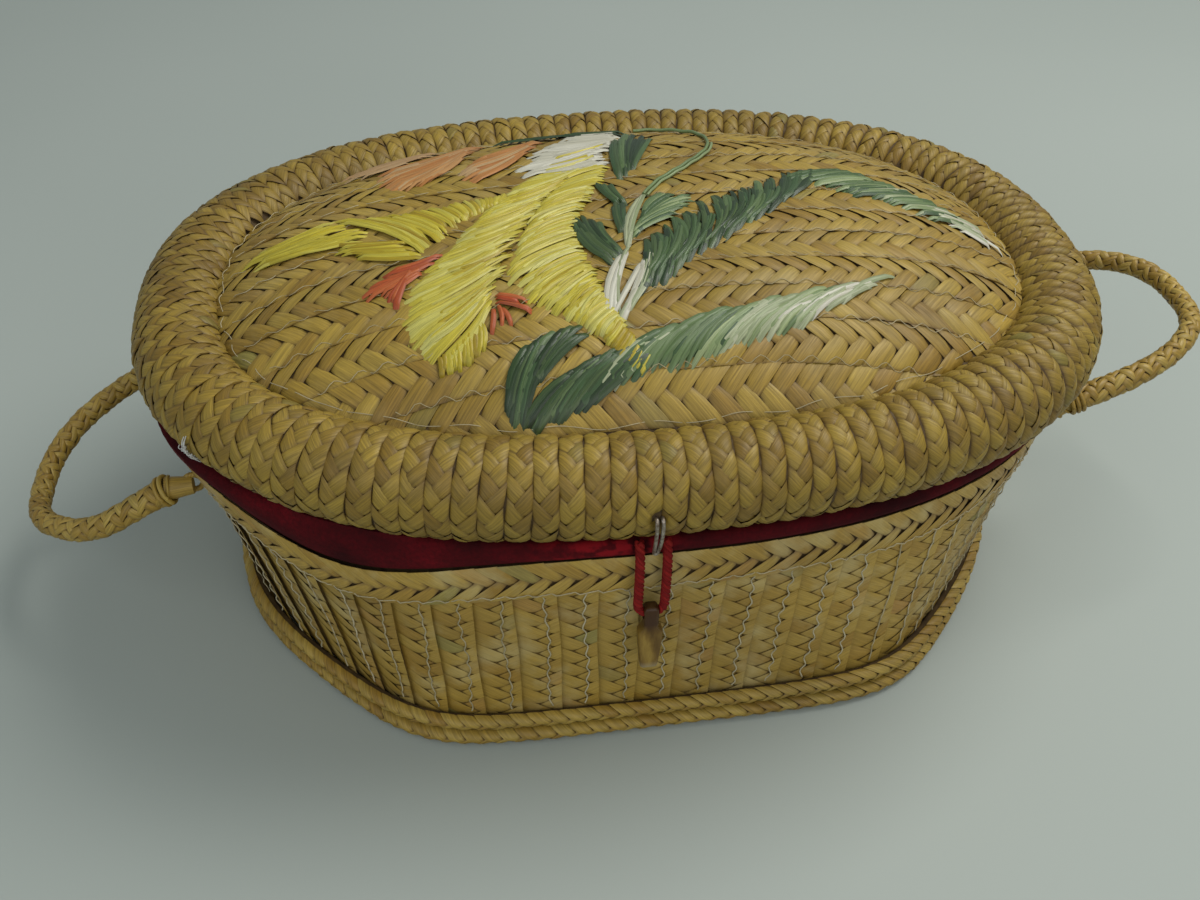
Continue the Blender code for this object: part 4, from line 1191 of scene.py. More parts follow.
def make_embroidery():
    """The raffia flower with its buds, leaves and stems."""
    greens = [raffia_dark, raffia_mid, raffia_pale, raffia_fade, raffia_white]
    seam = [(0, 28), (-11, 26), (-20, 14), (-29, -2), (-38, -15), (-43, -30), (-47, -43)]
    rim_left = [(-29, 22), (-45, 2), (-58, -17), (-68, -30), (-73, -44), (-71, -55), (-63, -62)]
    shapes = (
        ("raffia_petal_left", "petal_yellow_left", "raffia_yellow", [raffia_yellow], (
            fan(seam, rim_left, 66, 2.7, 0.06, tone=(0.4, 1.0), ragged=0.03),
            fan(
                [(-8, 27), (-26, 2), (-45, -38)], [(-36, 12), (-60, -22), (-68, -56)],
                46, 1.3, 0.06, layer=0.35, tone=(0.1, 1.0), ragged=0.16,
            ),
            fan(
                [(-50, -49), (-57, -54), (-63, -58)], [(-51, -60), (-57, -64), (-63, -64)],
                11, 2.1, 0.05, tone=(0.0, 0.5), ragged=0.1,
            ),
        )),
        ("raffia_petal_right", "petal_yellow_right", "raffia_yellow", [raffia_yellow], (
            fan(
                [(1, 27), (-4, 17), (-10, 6), (-15, -6),
                 (-15, -20), (-14, -34), (-12, -46), (-9, -56)],
                [(-20, 16), (-29, 0), (-37, -20), (-41, -34),
                 (-37, -44), (-29, -51), (-22, -57), (-16, -63)],
                60, 2.7, -0.05, tone=(0.4, 1.0), ragged=0.05,
            ),
            fan(
                [(-6, 14), (-15, -12), (-13, -44)], [(-26, 4), (-40, -32), (-22, -56)],
                38, 1.3, -0.06, layer=0.35, tone=(0.0, 1.0), ragged=0.16,
            ),
            fan(
                [(-11, -53), (-8, -60), (-4, -66)], [(-17, -61), (-14, -67), (-9, -72)],
                11, 2.1, 0.05, tone=(0.0, 0.6), ragged=0.04,
            ),
        )),
        ("raffia_petal_side", "petal_yellow_side", "raffia_yellow", [raffia_yellow], (
            fan(
                [(-93, 14), (-86, 11), (-76, 9), (-62, 9), (-48, 11), (-36, 13)],
                [(-62, -19), (-61, -16), (-58, -11), (-53, -5), (-46, 1), (-40, 6)],
                34, 2.3, 0.07, tone=(0.0, 0.85), ragged=0.1,
            ),
            fan(
                [(-92, -2), (-90, -7), (-84, -12)], [(-68, -9), (-64, -15), (-62, -19)],
                13, 2.1, -0.05, tone=(0.0, 0.7), ragged=0.12,
            ),
            fan(
                [(-118, 9), (-121, 6), (-121, 2)], [(-90, 13), (-84, 6), (-80, -2)],
                14, 2.0, -0.06, tone=(0.0, 0.8), ragged=0.15,
            ),
            fan(
                [(-104, 4), (-106, 1)], [(-80, 2), (-78, -4)],
                6, 1.9, -0.05, tone=(0.2, 0.9), ragged=0.2,
            ),
        )),
        ("raffia_petal_white", "petal_white", "raffia_white", [raffia_white, raffia_yellow], (
            fan(
                [(9, 58), (9, 53), (6, 45), (0, 35), (0, 29)],
                [(-10, 56), (-20, 47), (-27, 36), (-31, 26), (-22, 21)],
                32, 2.3, 0.05, ragged=0.12,
            ),
            fan(
                [(4, 48), (-2, 36)], [(-20, 36), (-26, 24)],
                9, 1.6, 0.05, layer=0.3, slots=(0, 0, 0, 1), ragged=0.2,
            ),
        )),
        ("raffia_bud_salmon", "bud_salmon", "raffia_orange", [raffia_orange, raffia_salmon], (
            fan(
                [(-37, 58), (-41, 54), (-45, 49), (-47, 45)],
                [(-77, 42), (-77, 34), (-73, 24), (-62, 25)],
                26, 2.5, 0.06, slots=(0, 0, 1), tone=(0.3, 1.0), ragged=0.06,
            ),
            fan(
                [(-50, 60), (-55, 57), (-60, 52)], [(-86, 57), (-88, 50), (-84, 43)],
                11, 2.2, 0.04, slots=(1,), lift=0.5, ragged=0.2,
            ),
        )),
        ("raffia_bud_orange", "bud_orange", "raffia_orange", [raffia_orange, raffia_salmon], (
            fan(
                [(-18, 55), (-21, 51), (-24, 45)], [(-46, 38), (-50, 30), (-47, 22)],
                16, 2.3, 0.05, slots=(0, 0, 1), tone=(0.1, 0.9), ragged=0.06,
            ),
        )),
        ("raffia_accent_left", "accent_red", "raffia_red", [raffia_red], (
            fan(
                [(-58, -18), (-60, -21), (-64, -25)], [(-80, -24), (-83, -30), (-80, -36)],
                8, 1.8, 0.04, ragged=0.15,
            ),
            fan(
                [(-66, -22), (-69, -26)], [(-78, -39), (-74, -42)],
                4, 1.5, -0.05, layer=0.2, ragged=0.15,
            ),
        )),
        ("raffia_accent_middle", None, "raffia_red", [raffia_red], (
            fan([(-47, -40), (-46, -44)], [(-36, -45), (-35, -50)], 4, 1.5, 0.05, ragged=0.15),
            fan([(-46, -44), (-44, -46)], [(-48, -56), (-42, -54)], 3, 1.4, 0.05, ragged=0.15),
        )),
        ("raffia_leaf_arc", "leaf_green_arc", "raffia_dark_green", greens[:2], (
            fan(
                [(-12, 60), (-4, 60), (4, 59)], [(-37, 57), (-27, 58), (-14, 60)],
                9, 1.9, 0.09, slots=(0, 0, 1),
            ),
            fan([(11, 57), (12, 61)], [(-16, 60), (-8, 65)], 8, 2.2, 0.08),
        )),
        ("raffia_leaf_upper", "leaf_green_upper", "raffia_dark_green", greens[:2], (
            fan(
                [(1, 17), (3, 18), (6, 22)], [(4, 50), (12, 58), (18, 50)],
                13, 2.4, 0.04, slots=(0, 0, 1), ragged=0.1,
            ),
        )),
        ("raffia_leaf_pale", "leaf_pale_small", "raffia_pale_green", greens[:3], (
            fan(
                [(-2, -19), (0, -14), (4, -8)], [(16, -6), (23, 4), (14, 7)],
                15, 2.3, 0.06, slots=(2, 2, 2, 1), ragged=0.08,
            ),
        )),
        ("raffia_leaf_inner", "leaf_dark_small", "raffia_dark_green", greens[:2], (
            fan(
                [(-9, -32), (-7, -31), (-5, -27)], [(-19, -8), (-16, -2), (-10, -4)],
                12, 2.4, 0.08, slots=(0, 0, 0, 1), ragged=0.1,
            ),
            fan([(-4, -18), (-2, -14)], [(-3, 4), (1, 6)], 6, 2.1, 0.05, slots=(0, 1), ragged=0.1),
            fan([(-2, 0), (1, 2)], [(-7, 16), (-3, 17)], 5, 1.9, 0.06, slots=(0, 1), ragged=0.1),
        )),
        ("raffia_stem_white", "stem_white", "raffia_white", [raffia_white, raffia_fade], (
            fan(
                [(5, -22), (3, -26), (0, -31)], [(-8, -52), (-11, -58), (-14, -56)],
                10, 2.0, 0.05, slots=(0, 0, 1), ragged=0.15,
            ),
            fan(
                [(-5, -26), (-2, -22)], [(-15, -56), (-12, -58)],
                4, 1.8, -0.06, slots=(0, 1), ragged=0.1,
            ),
            fan([(9, 9), (7, 9)], [(-3, -24), (-5, -28)], 4, 1.6, -0.04, slots=(1,)),
        )),
        ("raffia_leaf_long", "leaf_green_long", "raffia_dark_green", greens[:2], (
            fan(
                [(-7, -50), (-1, -47), (8, -39), (18, -30), (30, -20), (42, -10), (52, -1)],
                [(2, -22), (12, -8), (24, 1), (36, 8), (48, 14), (58, 18), (67, 21)],
                54, 2.5, -0.08, slots=(0, 0, 0, 1), clump=4, ragged=0.12,
            ),
            fan(
                [(-3, -44), (14, -30), (38, -12)], [(10, -14), (30, 0), (56, 14)],
                26, 1.5, -0.08, layer=0.35, slots=(0, 1, 1), tone=(0.2, 1.0), ragged=0.2,
            ),
        )),
        ("raffia_leaf_far", "leaf_pale_long", "raffia_pale_green", greens, (
            fan(
                [(52, 11), (60, 9), (68, 5), (76, 1)], [(76, 19), (86, 15), (95, 10), (103, 5)],
                24, 2.3, 0.06, slots=(1, 1, 2), clump=3, ragged=0.12,
            ),
            fan(
                [(70, 5), (80, 1), (90, -4), (98, -8)], [(92, 11), (102, 6), (110, 1), (117, -5)],
                20, 2.1, 0.05, slots=(2, 2, 3, 1), clump=3, ragged=0.15,
            ),
            fan(
                [(92, 1), (102, -5), (107, -9)], [(117, -3), (121, -9), (122, -16)],
                12, 1.8, 0.05, slots=(3, 3, 4), ragged=0.25,
            ),
        )),
        ("raffia_front_dark", "leaf_front_dark", "raffia_dark_green", greens[:2], (
            fan(
                [(-47, -77), (-45, -80), (-42, -81)], [(-38, -61), (-31, -55), (-24, -56)],
                16, 2.5, 0.08, slots=(0, 0, 0, 0, 1), clump=3, ragged=0.1,
            ),
            fan(
                [(-40, -72), (-36, -70)], [(-26, -55), (-19, -57)],
                8, 2.2, 0.06, layer=0.2, ragged=0.15,
            ),
        )),
        ("raffia_front_pale", "leaf_front_pale", "raffia_pale_green", greens, (
            fan(
                [(-45, -81), (-43, -82), (-40, -82), (-33, -80), (-25, -78)],
                [(-24, -68), (-17, -65), (-10, -63), (-5, -64), (-1, -66)],
                26, 2.4, 0.06, slots=(0, 0, 0, 1), clump=4, ragged=0.1,
            ),
            fan(
                [(-22, -76), (-14, -74), (-5, -72), (5, -71), (16, -68)],
                [(0, -60), (8, -57), (17, -55), (28, -52), (38, -50)],
                30, 2.4, 0.07, slots=(2, 2, 2, 1, 3), clump=4, ragged=0.12,
            ),
            fan(
                [(8, -70), (20, -67), (32, -64), (42, -61)],
                [(34, -52), (46, -49), (56, -46), (64, -44)],
                24, 2.2, 0.06, slots=(3, 2, 3), clump=3, ragged=0.15,
            ),
            fan(
                [(28, -63), (40, -60), (50, -56)], [(58, -47), (68, -44), (76, -41)],
                13, 1.7, 0.06, slots=(4, 3), ragged=0.25,
            ),
        )),
    )
    for shape in shapes:
        embroider(*shape)
    stem = Soup()
    loop = smooth([(7, 6), (13, 14), (24, 24), (33, 34), (36, 44), (33, 54), (24, 61), (14, 62)], 70)
    wave = 0.75 + 0.15 * np.sin(np.arange(70) * 0.9)
    tube(stem, dome(loop[:, 0], loop[:, 1], wave), 0.62, 6, tone=0.4)
    tube(stem, dome(loop[:40, 0] + 1.1, loop[:40, 1] - 0.8, wave[:40]), 0.5, 6, tone=0.8)
    belong(stem.piece("raffia_stem_loop", [raffia_pale]), "raffia_pale_green", "lid")


# ---------------------------------------------------------------- handles

PIVOT_X, PIVOT_Z = 141.2, 62.0
HANDLE_REACH, HANDLE_HALF, HANDLE_SHOULDER = 56.0, 38.0, 3.0
HANDLE_ROUND = 0.8
EYE_Y, LOOP_RADIUS = 32.0, 2.9
HINGE_X, HINGE_Y, HINGE_Z = 26.0, 106.2, 83.8
# How far the winding draws each handle's front and rear ends off the even bow
HANDLE_DRAW = {
    1: ((0.0, 0.5, 4.0), (5.5, 0.0, 2.0), (0.0, 0.0, 4.0)),
    -1: ((-3.0, 4.0, 2.0), (-2.5, -2.0, -2.5), (0.0, 0.0, 3.0)),
}
HANDLE_SAG = {1: (0.0, 0.0, 0.0), -1: (1.0, -2.5, -3.0)}


def handle_path(sign, tilt):
    """The handle's centreline with its outward and level directions."""
    turn = np.linspace(0, math.pi, 200)
    c, s = np.cos(turn), np.sin(turn)
    y = HANDLE_HALF * np.sign(c) * np.abs(c) ** HANDLE_ROUND
    x = HANDLE_SHOULDER + (HANDLE_REACH - HANDLE_SHOULDER) * np.abs(s) ** HANDLE_ROUND
    length = np.concatenate([[0], np.cumsum(np.hypot(np.diff(x), np.diff(y)))])
    want = np.linspace(0, length[-1], 260)
    x, y = np.interp(want, length, x), np.interp(want, length, y)
    kernel = np.ones(9) / 9
    pad = 4
    x[pad:-pad], y[pad:-pad] = np.convolve(x, kernel, "valid"), np.convolve(y, kernel, "valid")
    tangent = unit(np.stack([np.gradient(x), np.gradient(y)], -1))
    normal = np.stack([tangent[:, 1], -tangent[:, 0]], -1)
    turn_z = 0.0 if sign > 0 else math.pi
    matrix = np.array(Euler((0.0, -tilt, turn_z)).to_matrix())
    pivot = np.array([sign * PIVOT_X, 0.0, PIVOT_Z])
    flat = np.zeros(len(x))
    centre = np.stack([x, y, flat], -1) @ matrix.T + pivot
    near_front = np.exp(-((centre[:, 1] + HANDLE_HALF) / 26) ** 2)
    near_rear = np.exp(-((centre[:, 1] - HANDLE_HALF) / 26) ** 2)
    middle = np.sin(math.pi * want / want[-1]) ** 2
    for weight, move in zip((near_front, middle, near_rear), HANDLE_DRAW[sign]):
        centre = centre + weight[:, None] * np.array(move)
    leg = np.exp(-(((want / want[-1] - 0.2) / 0.12) ** 2))
    centre = centre + leg[:, None] * np.array(HANDLE_SAG[sign])
    outward = np.stack([normal[:, 0], normal[:, 1], flat], -1) @ matrix.T
    return want, centre, outward, matrix


def make_handles():
    """Each handle is a cane bow wound with a narrow braid, thicker where it is bound off."""
    for key, sign, tilt in (("right", 1, math.radians(15)), ("left", -1, math.radians(-22))):
        want, centre, outward, matrix = handle_path(sign, tilt)
        level_up = matrix[:, 2]
        total = want[-1]
        width, strand, core = 6.6, 3.1, 3.55
        angle = math.atan2(width * 0.92, TURN * core)
        cos_a, sin_a = math.cos(angle), math.sin(angle)
        soup = Soup()

        def spot(b, around, radius):
            b = np.clip(b, 2.2, total - 2.2)
            middle, out = along_line(b, want, centre), along_line(b, want, outward)
            bound = b if sign < 0 else total - b
            swell = 0.7 * np.exp(-((bound / 30) ** 2)) + 0.3 * np.exp(-(((total - bound) / 13) ** 2))
            reach = (radius + swell)[..., None]
            away = out * np.cos(around)[..., None] + level_up * np.sin(around)[..., None]
            return middle + reach * away

        def place(s, t, h):
            a = s * cos_a - t * sin_a
            b = s * sin_a + t * cos_a
            points = spot(b, a / core, core + h)
            shape = b.reshape(b.shape[0], -1)
            points[(shape.min(axis=1) < 1.0) | (shape.max(axis=1) > total - 1.0)] = np.nan
            return points

        style = dict(
            lift=-0.3, bulge=0.5, sink=0.55, tilt=0.2, drop=0.35, gap=0.03, taper=0.12,
        )
        columns = int(total / sin_a / (strand * ROOT)) + 2
        plait(soup, place, columns, strand, -width / 2, width / 2, style)
        b = np.linspace(2.2, total - 2.2, 150)
        middle = spot(b, np.zeros_like(b), np.zeros_like(b))
        # The cane core takes the dark backing colour, as painted shade inside the winding.
        tube(soup, middle, core - 0.55, 12, slot=1, up=tuple(level_up))
        for place_b in (3.2, total - 3.2):
            for k in range(3 if sign < 0 and place_b < 5 else 4):
                here = np.clip(place_b + (k - 1.5) * 1.7, 2.3, total - 2.3)
                around = round_turn(26)
                ring = spot(here + 0.5 * np.sin(around), around, np.full(26, core + 0.25))
                tube(soup, ring, 0.75, 7, closed=True, tone=rng.uniform(0, 1), up=tuple(level_up))
        for end in (0, -1):
            side = 1 if end == 0 else -1
            pivot = np.array([sign * PIVOT_X, 0.0, PIVOT_Z])
            pin = np.array([[0.8, 36.6, 0.0], [0.1, 35.4, 0.0], [0.0, 33.4, 0.0], [0.0, 28.6, 0.0]])
            pin[:, 1] *= side
            pin = pin @ matrix.T + pivot
            begin = spot(np.array([3.0 if end == 0 else total - 3.0]), np.zeros(1), np.zeros(1))
            tucked = sign < 0 and end == 0
            knots = np.concatenate([begin, pin[2:3] if tucked else pin])
            fine = np.linspace(0, 1, 20) * (len(knots) - 1)
            path = along_line(fine, np.arange(len(knots)), knots)
            widest = 3.9 if tucked else 3.8
            thick = np.interp(fine, (0, 0.4, 1, 2, 3, 4), (widest, 3.5, 2.8, 2.0, 1.35, 1.3))
            tube(soup, path, thick, 12, up=tuple(level_up))
            for k in range(2, 4 if tucked else 12, 2):
                along = unit(path[k + 1] - path[k - 1])
                one = unit(np.cross(along, level_up))
                two = np.cross(one, along)
                around = round_turn(20)[:, None]
                ring = path[k] + (thick[k] + 0.1) * (one * np.cos(around) + two * np.sin(around))
                ring = ring + along * 0.35 * np.sin(around)
                tube(soup, ring, 0.5, 6, closed=True, tone=rng.uniform(0, 1), up=tuple(along))
        item = soup.piece(f"handle_braid_{key}", [straw_handle, painted_shade_backing])
        belong(item, "straw_handle", f"handle_{key}", f"handle_wrap_{key}", f"handle_core_{key}")


def ring_of_thread(soup, centre, radius, wire, axis, plies=3, turns=9):
    """A twisted ring round a centre point."""
    angle = round_turn(90)
    one = np.array([1.0, 0, 0]) if axis != "x" else np.array([0, 1.0, 0])
    two = np.array([0, 0, 1.0])
    for ply in range(plies):
        phase = turns * angle + TURN * ply / plies
        out = one * np.cos(angle)[:, None] + two * np.sin(angle)[:, None]
        side = np.cross(one, two)
        path = centre + out * (radius + 0.5 * wire * np.cos(phase))[:, None]
        path = path + side * (0.5 * wire * np.sin(phase))[:, None]
        tube(soup, path, wire * 0.56, 7, closed=True, tone=rng.uniform(0, 1), up=tuple(side))


def make_eyes_and_hinges():
    """Thread eyes for the handles and thread loops for the lid."""
    for side, sign in (("left", -1), ("right", 1)):
        for end, y in (("front", -EYE_Y), ("rear", EYE_Y)):
            soup = Soup()
            ring_of_thread(soup, np.array([sign * PIVOT_X, y, PIVOT_Z]), LOOP_RADIUS, 0.95, "y")
            item = soup.piece(f"thread_eye_{side}_{end}", [straw_handle])
            belong(item, "straw_handle", "basket", f"handle_eye_{side}_{end}")
    for side, x in (("left", -HINGE_X), ("right", HINGE_X)):
        soup = Soup()
        ring_of_thread(soup, np.array([x, HINGE_Y, HINGE_Z]), LOOP_RADIUS, 0.5, "x", 2, 12)
        item = soup.piece(f"thread_hinge_{side}", [thread_white])
        belong(item, "thread", "basket", f"lid_hinge_loop_{side}")


# ---------------------------------------------------------------- latch

# Where the peg hangs, and the cord's hole through it
LATCH_X, LATCH_Y = -9.0, -105.25
PEG_HOLE_Z, PEG_HOLE_RADIUS = 58.7, 1.75
PEG_SQUARENESS = 0.42


def make_latch():
    """Red cord loop, horn peg and wire staple."""
    leg = [(-103.6, 85.6), (-104.7, 83.3), (-105.7, 80.8), (-106.0, 76.0), (-105.8, 69.0)]
    leg = smooth(leg + [(-105.3, 62.5)], 60)
    bend = np.linspace(0, math.pi, 21)[1:-1]
    loop = 3.9
    side = np.full(60, loop)
    down = np.stack([side, leg[:, 0], leg[:, 1]], -1)
    under = np.stack([loop * np.cos(bend), np.full(19, LATCH_Y), 62.4 - loop * np.sin(bend)], -1)
    back = down[::-1] * np.array([-1, 1, 1])
    path = np.concatenate([down, under, back]) + np.array([LATCH_X, 0, 0])
    length = lengths_to(path)
    even = np.linspace(0, length[-1], 150)
    path = along_line(even, length, path)
    tangent = unit(np.gradient(path, axis=0))
    across = unit(np.cross(tangent, (0, 1.0, 0)))
    over = np.cross(across, tangent)
    soup = Soup()
    plies = 3
    pinch = 1 - 0.2 * np.exp(-(((even - even[-1] / 2) / 4.5) ** 4))
    for ply in range(plies):
        phase = TURN * (even / 5.2 + ply / plies)
        around = across * np.cos(phase)[:, None] + over * np.sin(phase)[:, None]
        ply_path = path + 0.72 * pinch[:, None] * around
        tube(soup, ply_path, 0.78 * pinch, 8, tone=ply / plies, up=(0, 1, 0.01))
    item = belong(soup.piece("latch_cord_twist", [red_cord]), "red_cord", "latch_cord", "latch_loop")
    make_peg()
    wire = [(-108.5, 99.3), (-110.4, 99.4), (-111.1, 98.4), (-111.1, 95.5), (-110.2, 91.5)]
    wire = smooth(wire + [(-109.0, 88.2), (-107.9, 85.9), (-107.6, 84.9)], 46)
    half = 0.85 - 0.35 * np.linspace(0, 1, 46) ** 3
    one = np.stack([half, wire[:, 0], wire[:, 1]], -1)
    turn = np.linspace(0, math.pi, 9)[1:-1]
    tip = np.stack([0.5 * np.cos(turn), np.full(7, -107.55), 84.85 - 0.5 * np.sin(turn)], -1)
    path = np.concatenate([one, tip, one[::-1] * np.array([-1, 1, 1])]) + np.array([LATCH_X, 0, 0])
    soup = Soup()
    tube(soup, path, 0.6, 10, up=(0, 1, 0.2))
    belong(soup.piece("staple_wire", [steel]), "steel_wire", "lid", "latch_staple")


def make_peg():
    """The horn toggle: a rounded neck with the cord's hole and a tapered, chamfered blade."""
    sections = (
        (61.9, 0.9, 1.1), (61.6, 1.7, 1.7), (60.8, 2.2, 2.1), (58.5, 2.35, 2.25),
        (55.0, 2.2, 2.15), (53.6, 2.3, 2.2), (52.7, 3.0, 2.3), (52.1, 3.55, 2.35),
        (51.2, 3.7, 2.35), (48.0, 3.6, 2.25), (44.5, 3.3, 2.1), (40.5, 2.95, 1.9),
        (37.6, 2.7, 1.7), (36.9, 2.5, 1.5), (36.5, 2.0, 1.1),
    )
    count = 28
    turn = round_turn(count)
    c, s = np.cos(turn), np.sin(turn)
    rings = []
    for z, wide, deep in sections:  # height, half width and half depth
        x = LATCH_X + wide * np.sign(c) * np.abs(c) ** PEG_SQUARENESS
        y = LATCH_Y + deep * np.sign(s) * np.abs(s) ** PEG_SQUARENESS
        rings.append(np.stack([x, y, np.full(count, z)], -1))
    peg = loft("horn_peg", rings)
    bpy.ops.mesh.primitive_cylinder_add(
        vertices=32,
        radius=PEG_HOLE_RADIUS * MM,
        depth=12 * MM,
        location=(LATCH_X * MM, LATCH_Y * MM, PEG_HOLE_Z * MM),
        rotation=(0, math.pi / 2, 0),
    )
    drill = bpy.context.object
    cut = peg.modifiers.new("hole", "BOOLEAN")
    cut.operation = "DIFFERENCE"
    cut.solver = "EXACT"
    cut.object = drill
    solid = apply_modifiers(peg)
    bpy.data.objects.remove(drill, do_unlink=True)
    solid.materials.clear()
    solid.materials.append(horn)
    solid.shade_smooth()
    solid.set_sharp_from_angle(angle=math.radians(38))
    belong(peg, "horn", "peg", "latch_peg")


# ---------------------------------------------------------------- lining


# The lid's lining: how far inside the rim's middle it lies, the card's depth and the cloth's thickness
LINING_INSET, CARD_UNDERSIDE, CLOTH = 15.6, 5.3, 0.6


def crumple(angle, level_share, seed, amount):
    """Soft folds round a gathered cloth."""
    folds = np.zeros(np.broadcast(angle, level_share).shape)
    source = np.random.RandomState(seed)
    for wave in (9, 17, 29, 43, 61, 97):
        phase = source.uniform(0, TURN, 3)
        twist = source.uniform(-1.5, 1.5)
        fold = np.sin(angle * wave + phase[0] + twist * level_share * 3)
        folds += fold * np.cos(level_share * 4 + phase[1]) / wave**0.55
    return amount * folds


def make_wall_lining():
    """Velvet inside the wall, turned out over its top edge as a puffed collar."""
    profile = [(-6.0, 5.3), (-5.4, 20), (-5.3, 40), (-5.3, 60), (-5.3, 72), (-5.2, 79), (-4.6, 82.6)]
    profile += [(-3.2, 84.3), (-1.4, 84.7), (0.2, 83.9), (1.1, 82.3), (1.05, 80.7), (0.35, 79.9)]
    line = smooth(profile, 46)
    count = 540
    angle = round_turn(count)[None]
    share = np.linspace(0, 1, 46)[:, None]
    soft = np.sin(np.pi * share) ** 0.5
    folds = crumple(angle, share, 5, 0.42) * soft
    middle = np.exp(-(((share - 0.84) / 0.1) ** 2))
    front = np.exp(-(((angle - (1.5 * math.pi - 0.2)) / 0.14) ** 2))
    tuck = middle * front * (0.5 + 0.6 * np.sin(angle * 130 + share * 30))
    ripple = 0.35 * middle * np.sin(angle * 83 + 4 * np.sin(angle * 11))
    tuck = tuck + ripple * np.sin(share * 26 + angle * 9)
    proud = line[:, 0][:, None] + folds * (1 - 0.4 * middle) + tuck
    z = np.minimum(line[:, 1][:, None] + 0.35 * folds * middle, 85.0)
    outer = np.clip((line[:, 0] + 3.5) / 3.2, 0, 1)[:, None]
    grid = wall(angle + 0 * share, z + 0 * angle, proud, outer)
    soup = Soup()
    sheet_body(soup, grid[:, ::-1], 0.7)
    return belong(soup.piece("velvet_wall", [velvet]), "velvet", "basket", "wall_lining")


def make_lid_lining():
    """Velvet inside the lid with a hem round the inner side of the rim."""
    shares = np.concatenate([np.linspace(0.001, 0.9, 26), np.linspace(0.92, 0.985, 5)])
    count = 360
    angle = round_turn(count)
    a, b = LID_A - RIM_RADIUS - LINING_INSET, LID_B - RIM_RADIUS - LINING_INSET
    rows = []
    for share in shares:
        flat = oval(angle, a * share, b * share)
        fade = min(1.0, share * 1.3) * (1.0 - 0.3 * share)
        pucker = crumple(angle, np.full(1, share), 9, 0.5) * fade
        height = dome_z(*flat.T) - CARD_UNDERSIDE - CLOTH + pucker
        rows.append(np.stack([*flat.T, height], -1))
    edge_z = rows[-1][:, 2].mean()
    for z, inset in ((edge_z - 1.0, 0.25), (104.5, 0.1), (101.0, 0.1), (97.8, 0.2), (95.2, 0.35)):
        flat = oval(angle, a - inset, b - inset)
        ripple = crumple(angle, np.full(1, z / 30), 9, 0.22)
        x, y = flat[:, 0] * (1 - ripple / 150), flat[:, 1] * (1 - ripple / 110)
        rows.append(np.stack([x, y, np.full(count, z)], -1))
    grid = np.stack(rows)
    soup = Soup()
    sheet_body(soup, grid[:, ::-1], CLOTH)
    return belong(soup.piece("velvet_lid", [velvet]), "velvet", "lid", "lid_lining")


# The floor pad, in metres: how far it may swell, its quilting and its underside
PAD_SWELL, QUILT_PITCH, SEAM_DEPTH, PAD_FLOOR_Z = 0.0016, 0.052, 0.0014, 0.0051


def vertices_of(mesh):
    """A mesh's vertices as an array."""
    co = np.zeros(len(mesh.vertices) * 3)
    mesh.vertices.foreach_get("co", co)
    return co.reshape(-1, 3)


def make_floor_pad():
    """The padded velvet floor, swollen as cloth and quilted in diamonds."""
    count = 120
    angle = round_turn(count)
    levels = ((6.4, 5.3), (6.0, 6.4), (6.3, 7.6), (8.5, 8.4))
    pad = loft("velvet_floor", [wall(angle, np.full(count, z), -inset, 0.0) for inset, z in levels])
    voxel = pad.modifiers.new("even", "REMESH")
    voxel.mode = "VOXEL"
    voxel.voxel_size = 0.0026
    pad_mesh = apply_modifiers(pad)
    rest = vertices_of(pad_mesh)
    now = rest
    group = pad.vertex_groups.new(name="sewn")
    held = np.where(rest[:, 2] < 0.0062)[0]
    group.add([int(i) for i in held], 1.0, "REPLACE")
    cloth = pad.modifiers.new("swell", "CLOTH")
    cloth.settings.use_pressure = True
    cloth.settings.uniform_pressure_force = 2.0
    cloth.settings.vertex_group_mass = "sewn"
    cloth.settings.effector_weights.gravity = 0
    cloth.settings.quality = 4
    cloth.settings.tension_stiffness = 6
    scene = bpy.context.scene
    for step in range(1, 15):
        scene.frame_set(step)
    swollen = pad.evaluated_get(bpy.context.evaluated_depsgraph_get()).to_mesh()
    now = vertices_of(swollen)
    pad.modifiers.clear()
    scene.frame_set(1)
    move = now - rest
    reach = np.linalg.norm(move, axis=1, keepdims=True)
    now = rest + move * np.minimum(1, PAD_SWELL / np.maximum(reach, 1e-9))
    x, y = now[:, 0], now[:, 1]
    top = rest[:, 2] > 0.0066
    quilt = np.zeros(len(now))
    for slant in (1, -1):
        wave = np.abs(np.sin((x + slant * 1.3 * y) * math.pi / QUILT_PITCH))
        quilt += np.exp(-((wave / 0.16) ** 2))
    out = np.hypot(x / 0.12, y / 0.09)
    inside = np.clip((0.9 - out) / 0.12, 0, 1)
    crowned = 0.0013 * np.sqrt(np.clip(1.2 - out, 0, 1))
    now[:, 2] += np.where(top, crowned - SEAM_DEPTH * quilt * inside, 0)
    now[:, 2] = np.maximum(now[:, 2], PAD_FLOOR_Z)
    pad_mesh.vertices.foreach_set("co", now.ravel())
    pad_mesh.update()
    pad_mesh.materials.clear()
    pad_mesh.materials.append(velvet)
    pad_mesh.shade_smooth()
    belong(pad, "velvet", "basket", "base_lining_pad")


# ---------------------------------------------------------------- stage


# The camera's azimuth, elevation and roll in degrees, and its aim in metres
CAMERA_TURNS = (-9.965, 39.664, 1.174)
CAMERA_DISTANCE, CAMERA_TARGET = 0.5684, (0.00226, 0.04898, -0.00837)


def assign(node, material):
    """Give a CAD node that stays visible its own procedural material."""
    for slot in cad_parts[node].material_slots:
        slot.material = material


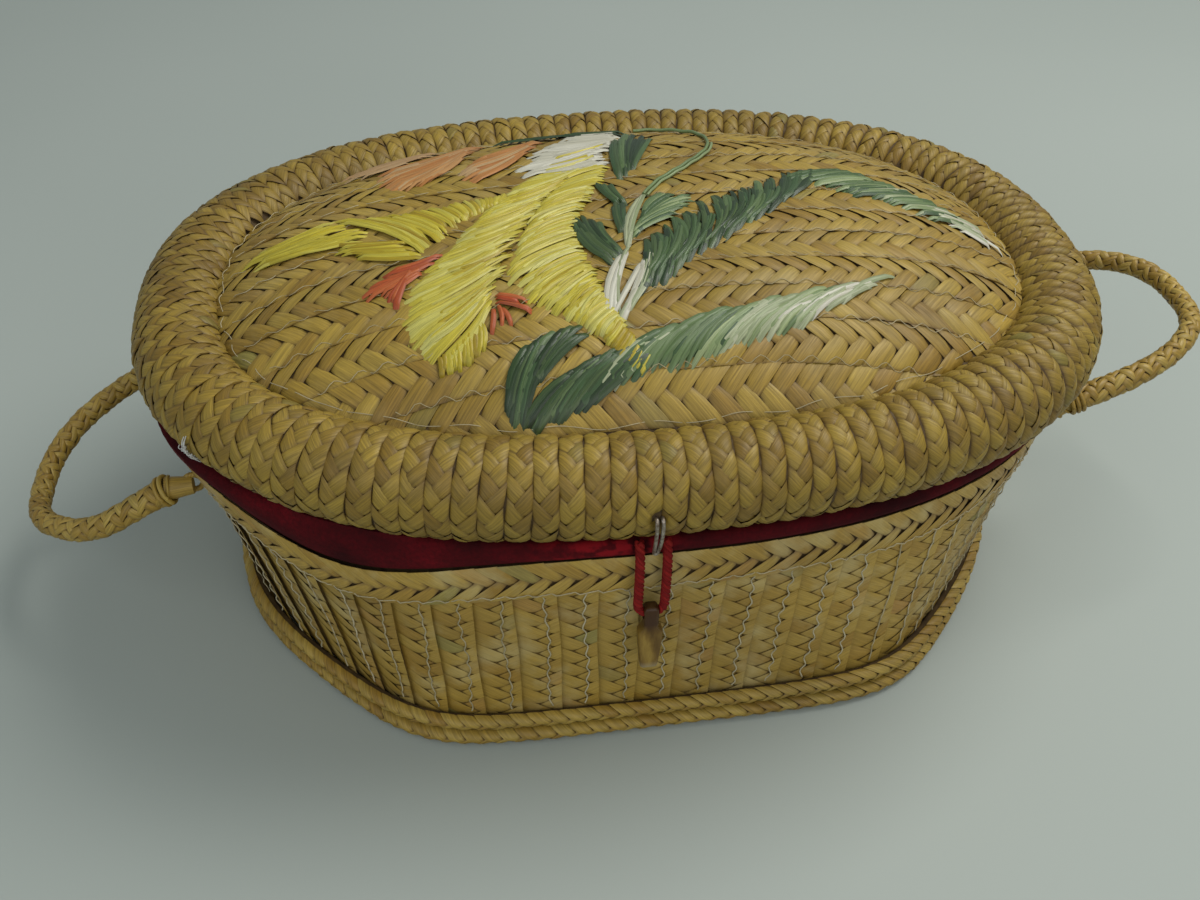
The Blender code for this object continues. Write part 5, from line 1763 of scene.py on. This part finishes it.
def make_stage():
    """Pale floor, soft lights and the camera."""
    bpy.ops.mesh.primitive_plane_add(size=6.0, location=(0, 0, 0))
    floor = bpy.context.object
    floor.name = "floor"
    material, tree, shader = nodes_of("floor_paper")
    place = object_place(tree)
    cloud = noise(tree, place, 3.0, 2.0)
    tone = ramp(tree, cloud, ((0.3, 0.36, 0.4, 0.37), (0.7, 0.38, 0.42, 0.39)))
    tree.links.new(tone, shader.inputs["Base Color"])
    shader.inputs["Roughness"].default_value = 0.75
    floor.data.materials.append(material)
    world = bpy.data.worlds.new("studio")
    world.use_nodes = True
    back = world.node_tree.nodes["Background"]
    back.inputs["Color"].default_value = (0.8, 0.88, 0.9, 1)
    back.inputs["Strength"].default_value = 0.36
    bpy.context.scene.world = world
    # Name, place, size, power and colour
    lamps = (
        ("key", (0.55, 0.15, 1.0), 0.7, 8.6, (1.0, 0.98, 0.93)),
        ("fill", (-0.75, -0.8, 0.8), 1.0, 3.4, (0.93, 0.97, 1.0)),
        ("front", (0.35, -1.1, 0.75), 0.8, 3.6, (1.0, 0.98, 0.95)),
    )
    for name, spot, size, power, colour in lamps:
        data = bpy.data.lights.new(name, "AREA")
        data.size = size
        data.energy = power
        data.color = colour
        lamp = linked(name, data)
        lamp.location = spot
        lamp.rotation_euler = (Vector((0, 0, 0.06)) - Vector(spot)).to_track_quat("-Z", "Y").to_euler()
    azimuth, elevation, roll = (math.radians(x) for x in CAMERA_TURNS)
    level_part = math.cos(elevation)
    backward = (math.sin(azimuth) * level_part, -math.cos(azimuth) * level_part, math.sin(elevation))
    backward = Vector(backward)
    right = (-backward).cross(Vector((0, 0, 1))).normalized()
    up = right.cross(-backward)
    c, s = math.cos(roll), math.sin(roll)
    right, up = right * c + up * s, up * c - right * s
    matrix = Matrix((right, up, backward)).transposed().to_4x4()
    matrix.translation = Vector(CAMERA_TARGET) + backward * CAMERA_DISTANCE
    data = bpy.data.cameras.new("camera")
    data.lens = 42.32
    data.sensor_width = 36.0
    data.clip_start, data.clip_end = 0.01, 20
    camera = linked("camera", data)
    camera.matrix_world = matrix
    bpy.context.scene.camera = camera
    bpy.context.scene.view_settings.view_transform = "Standard"


make_stage()
make_rim()
make_tuft()
make_dome()
make_embroidery()
make_wall()
make_band()
make_foot()
make_underside()
make_handles()
make_eyes_and_hinges()
make_latch()
wall_cloth = make_wall_lining()
lid_cloth = make_lid_lining()
make_floor_pad()
# The wall and lid boards take the painted-shade backing colour.
assign("wall_board", painted_shade_backing)
assign("base_board", card)
assign("lid_board", painted_shade_backing)
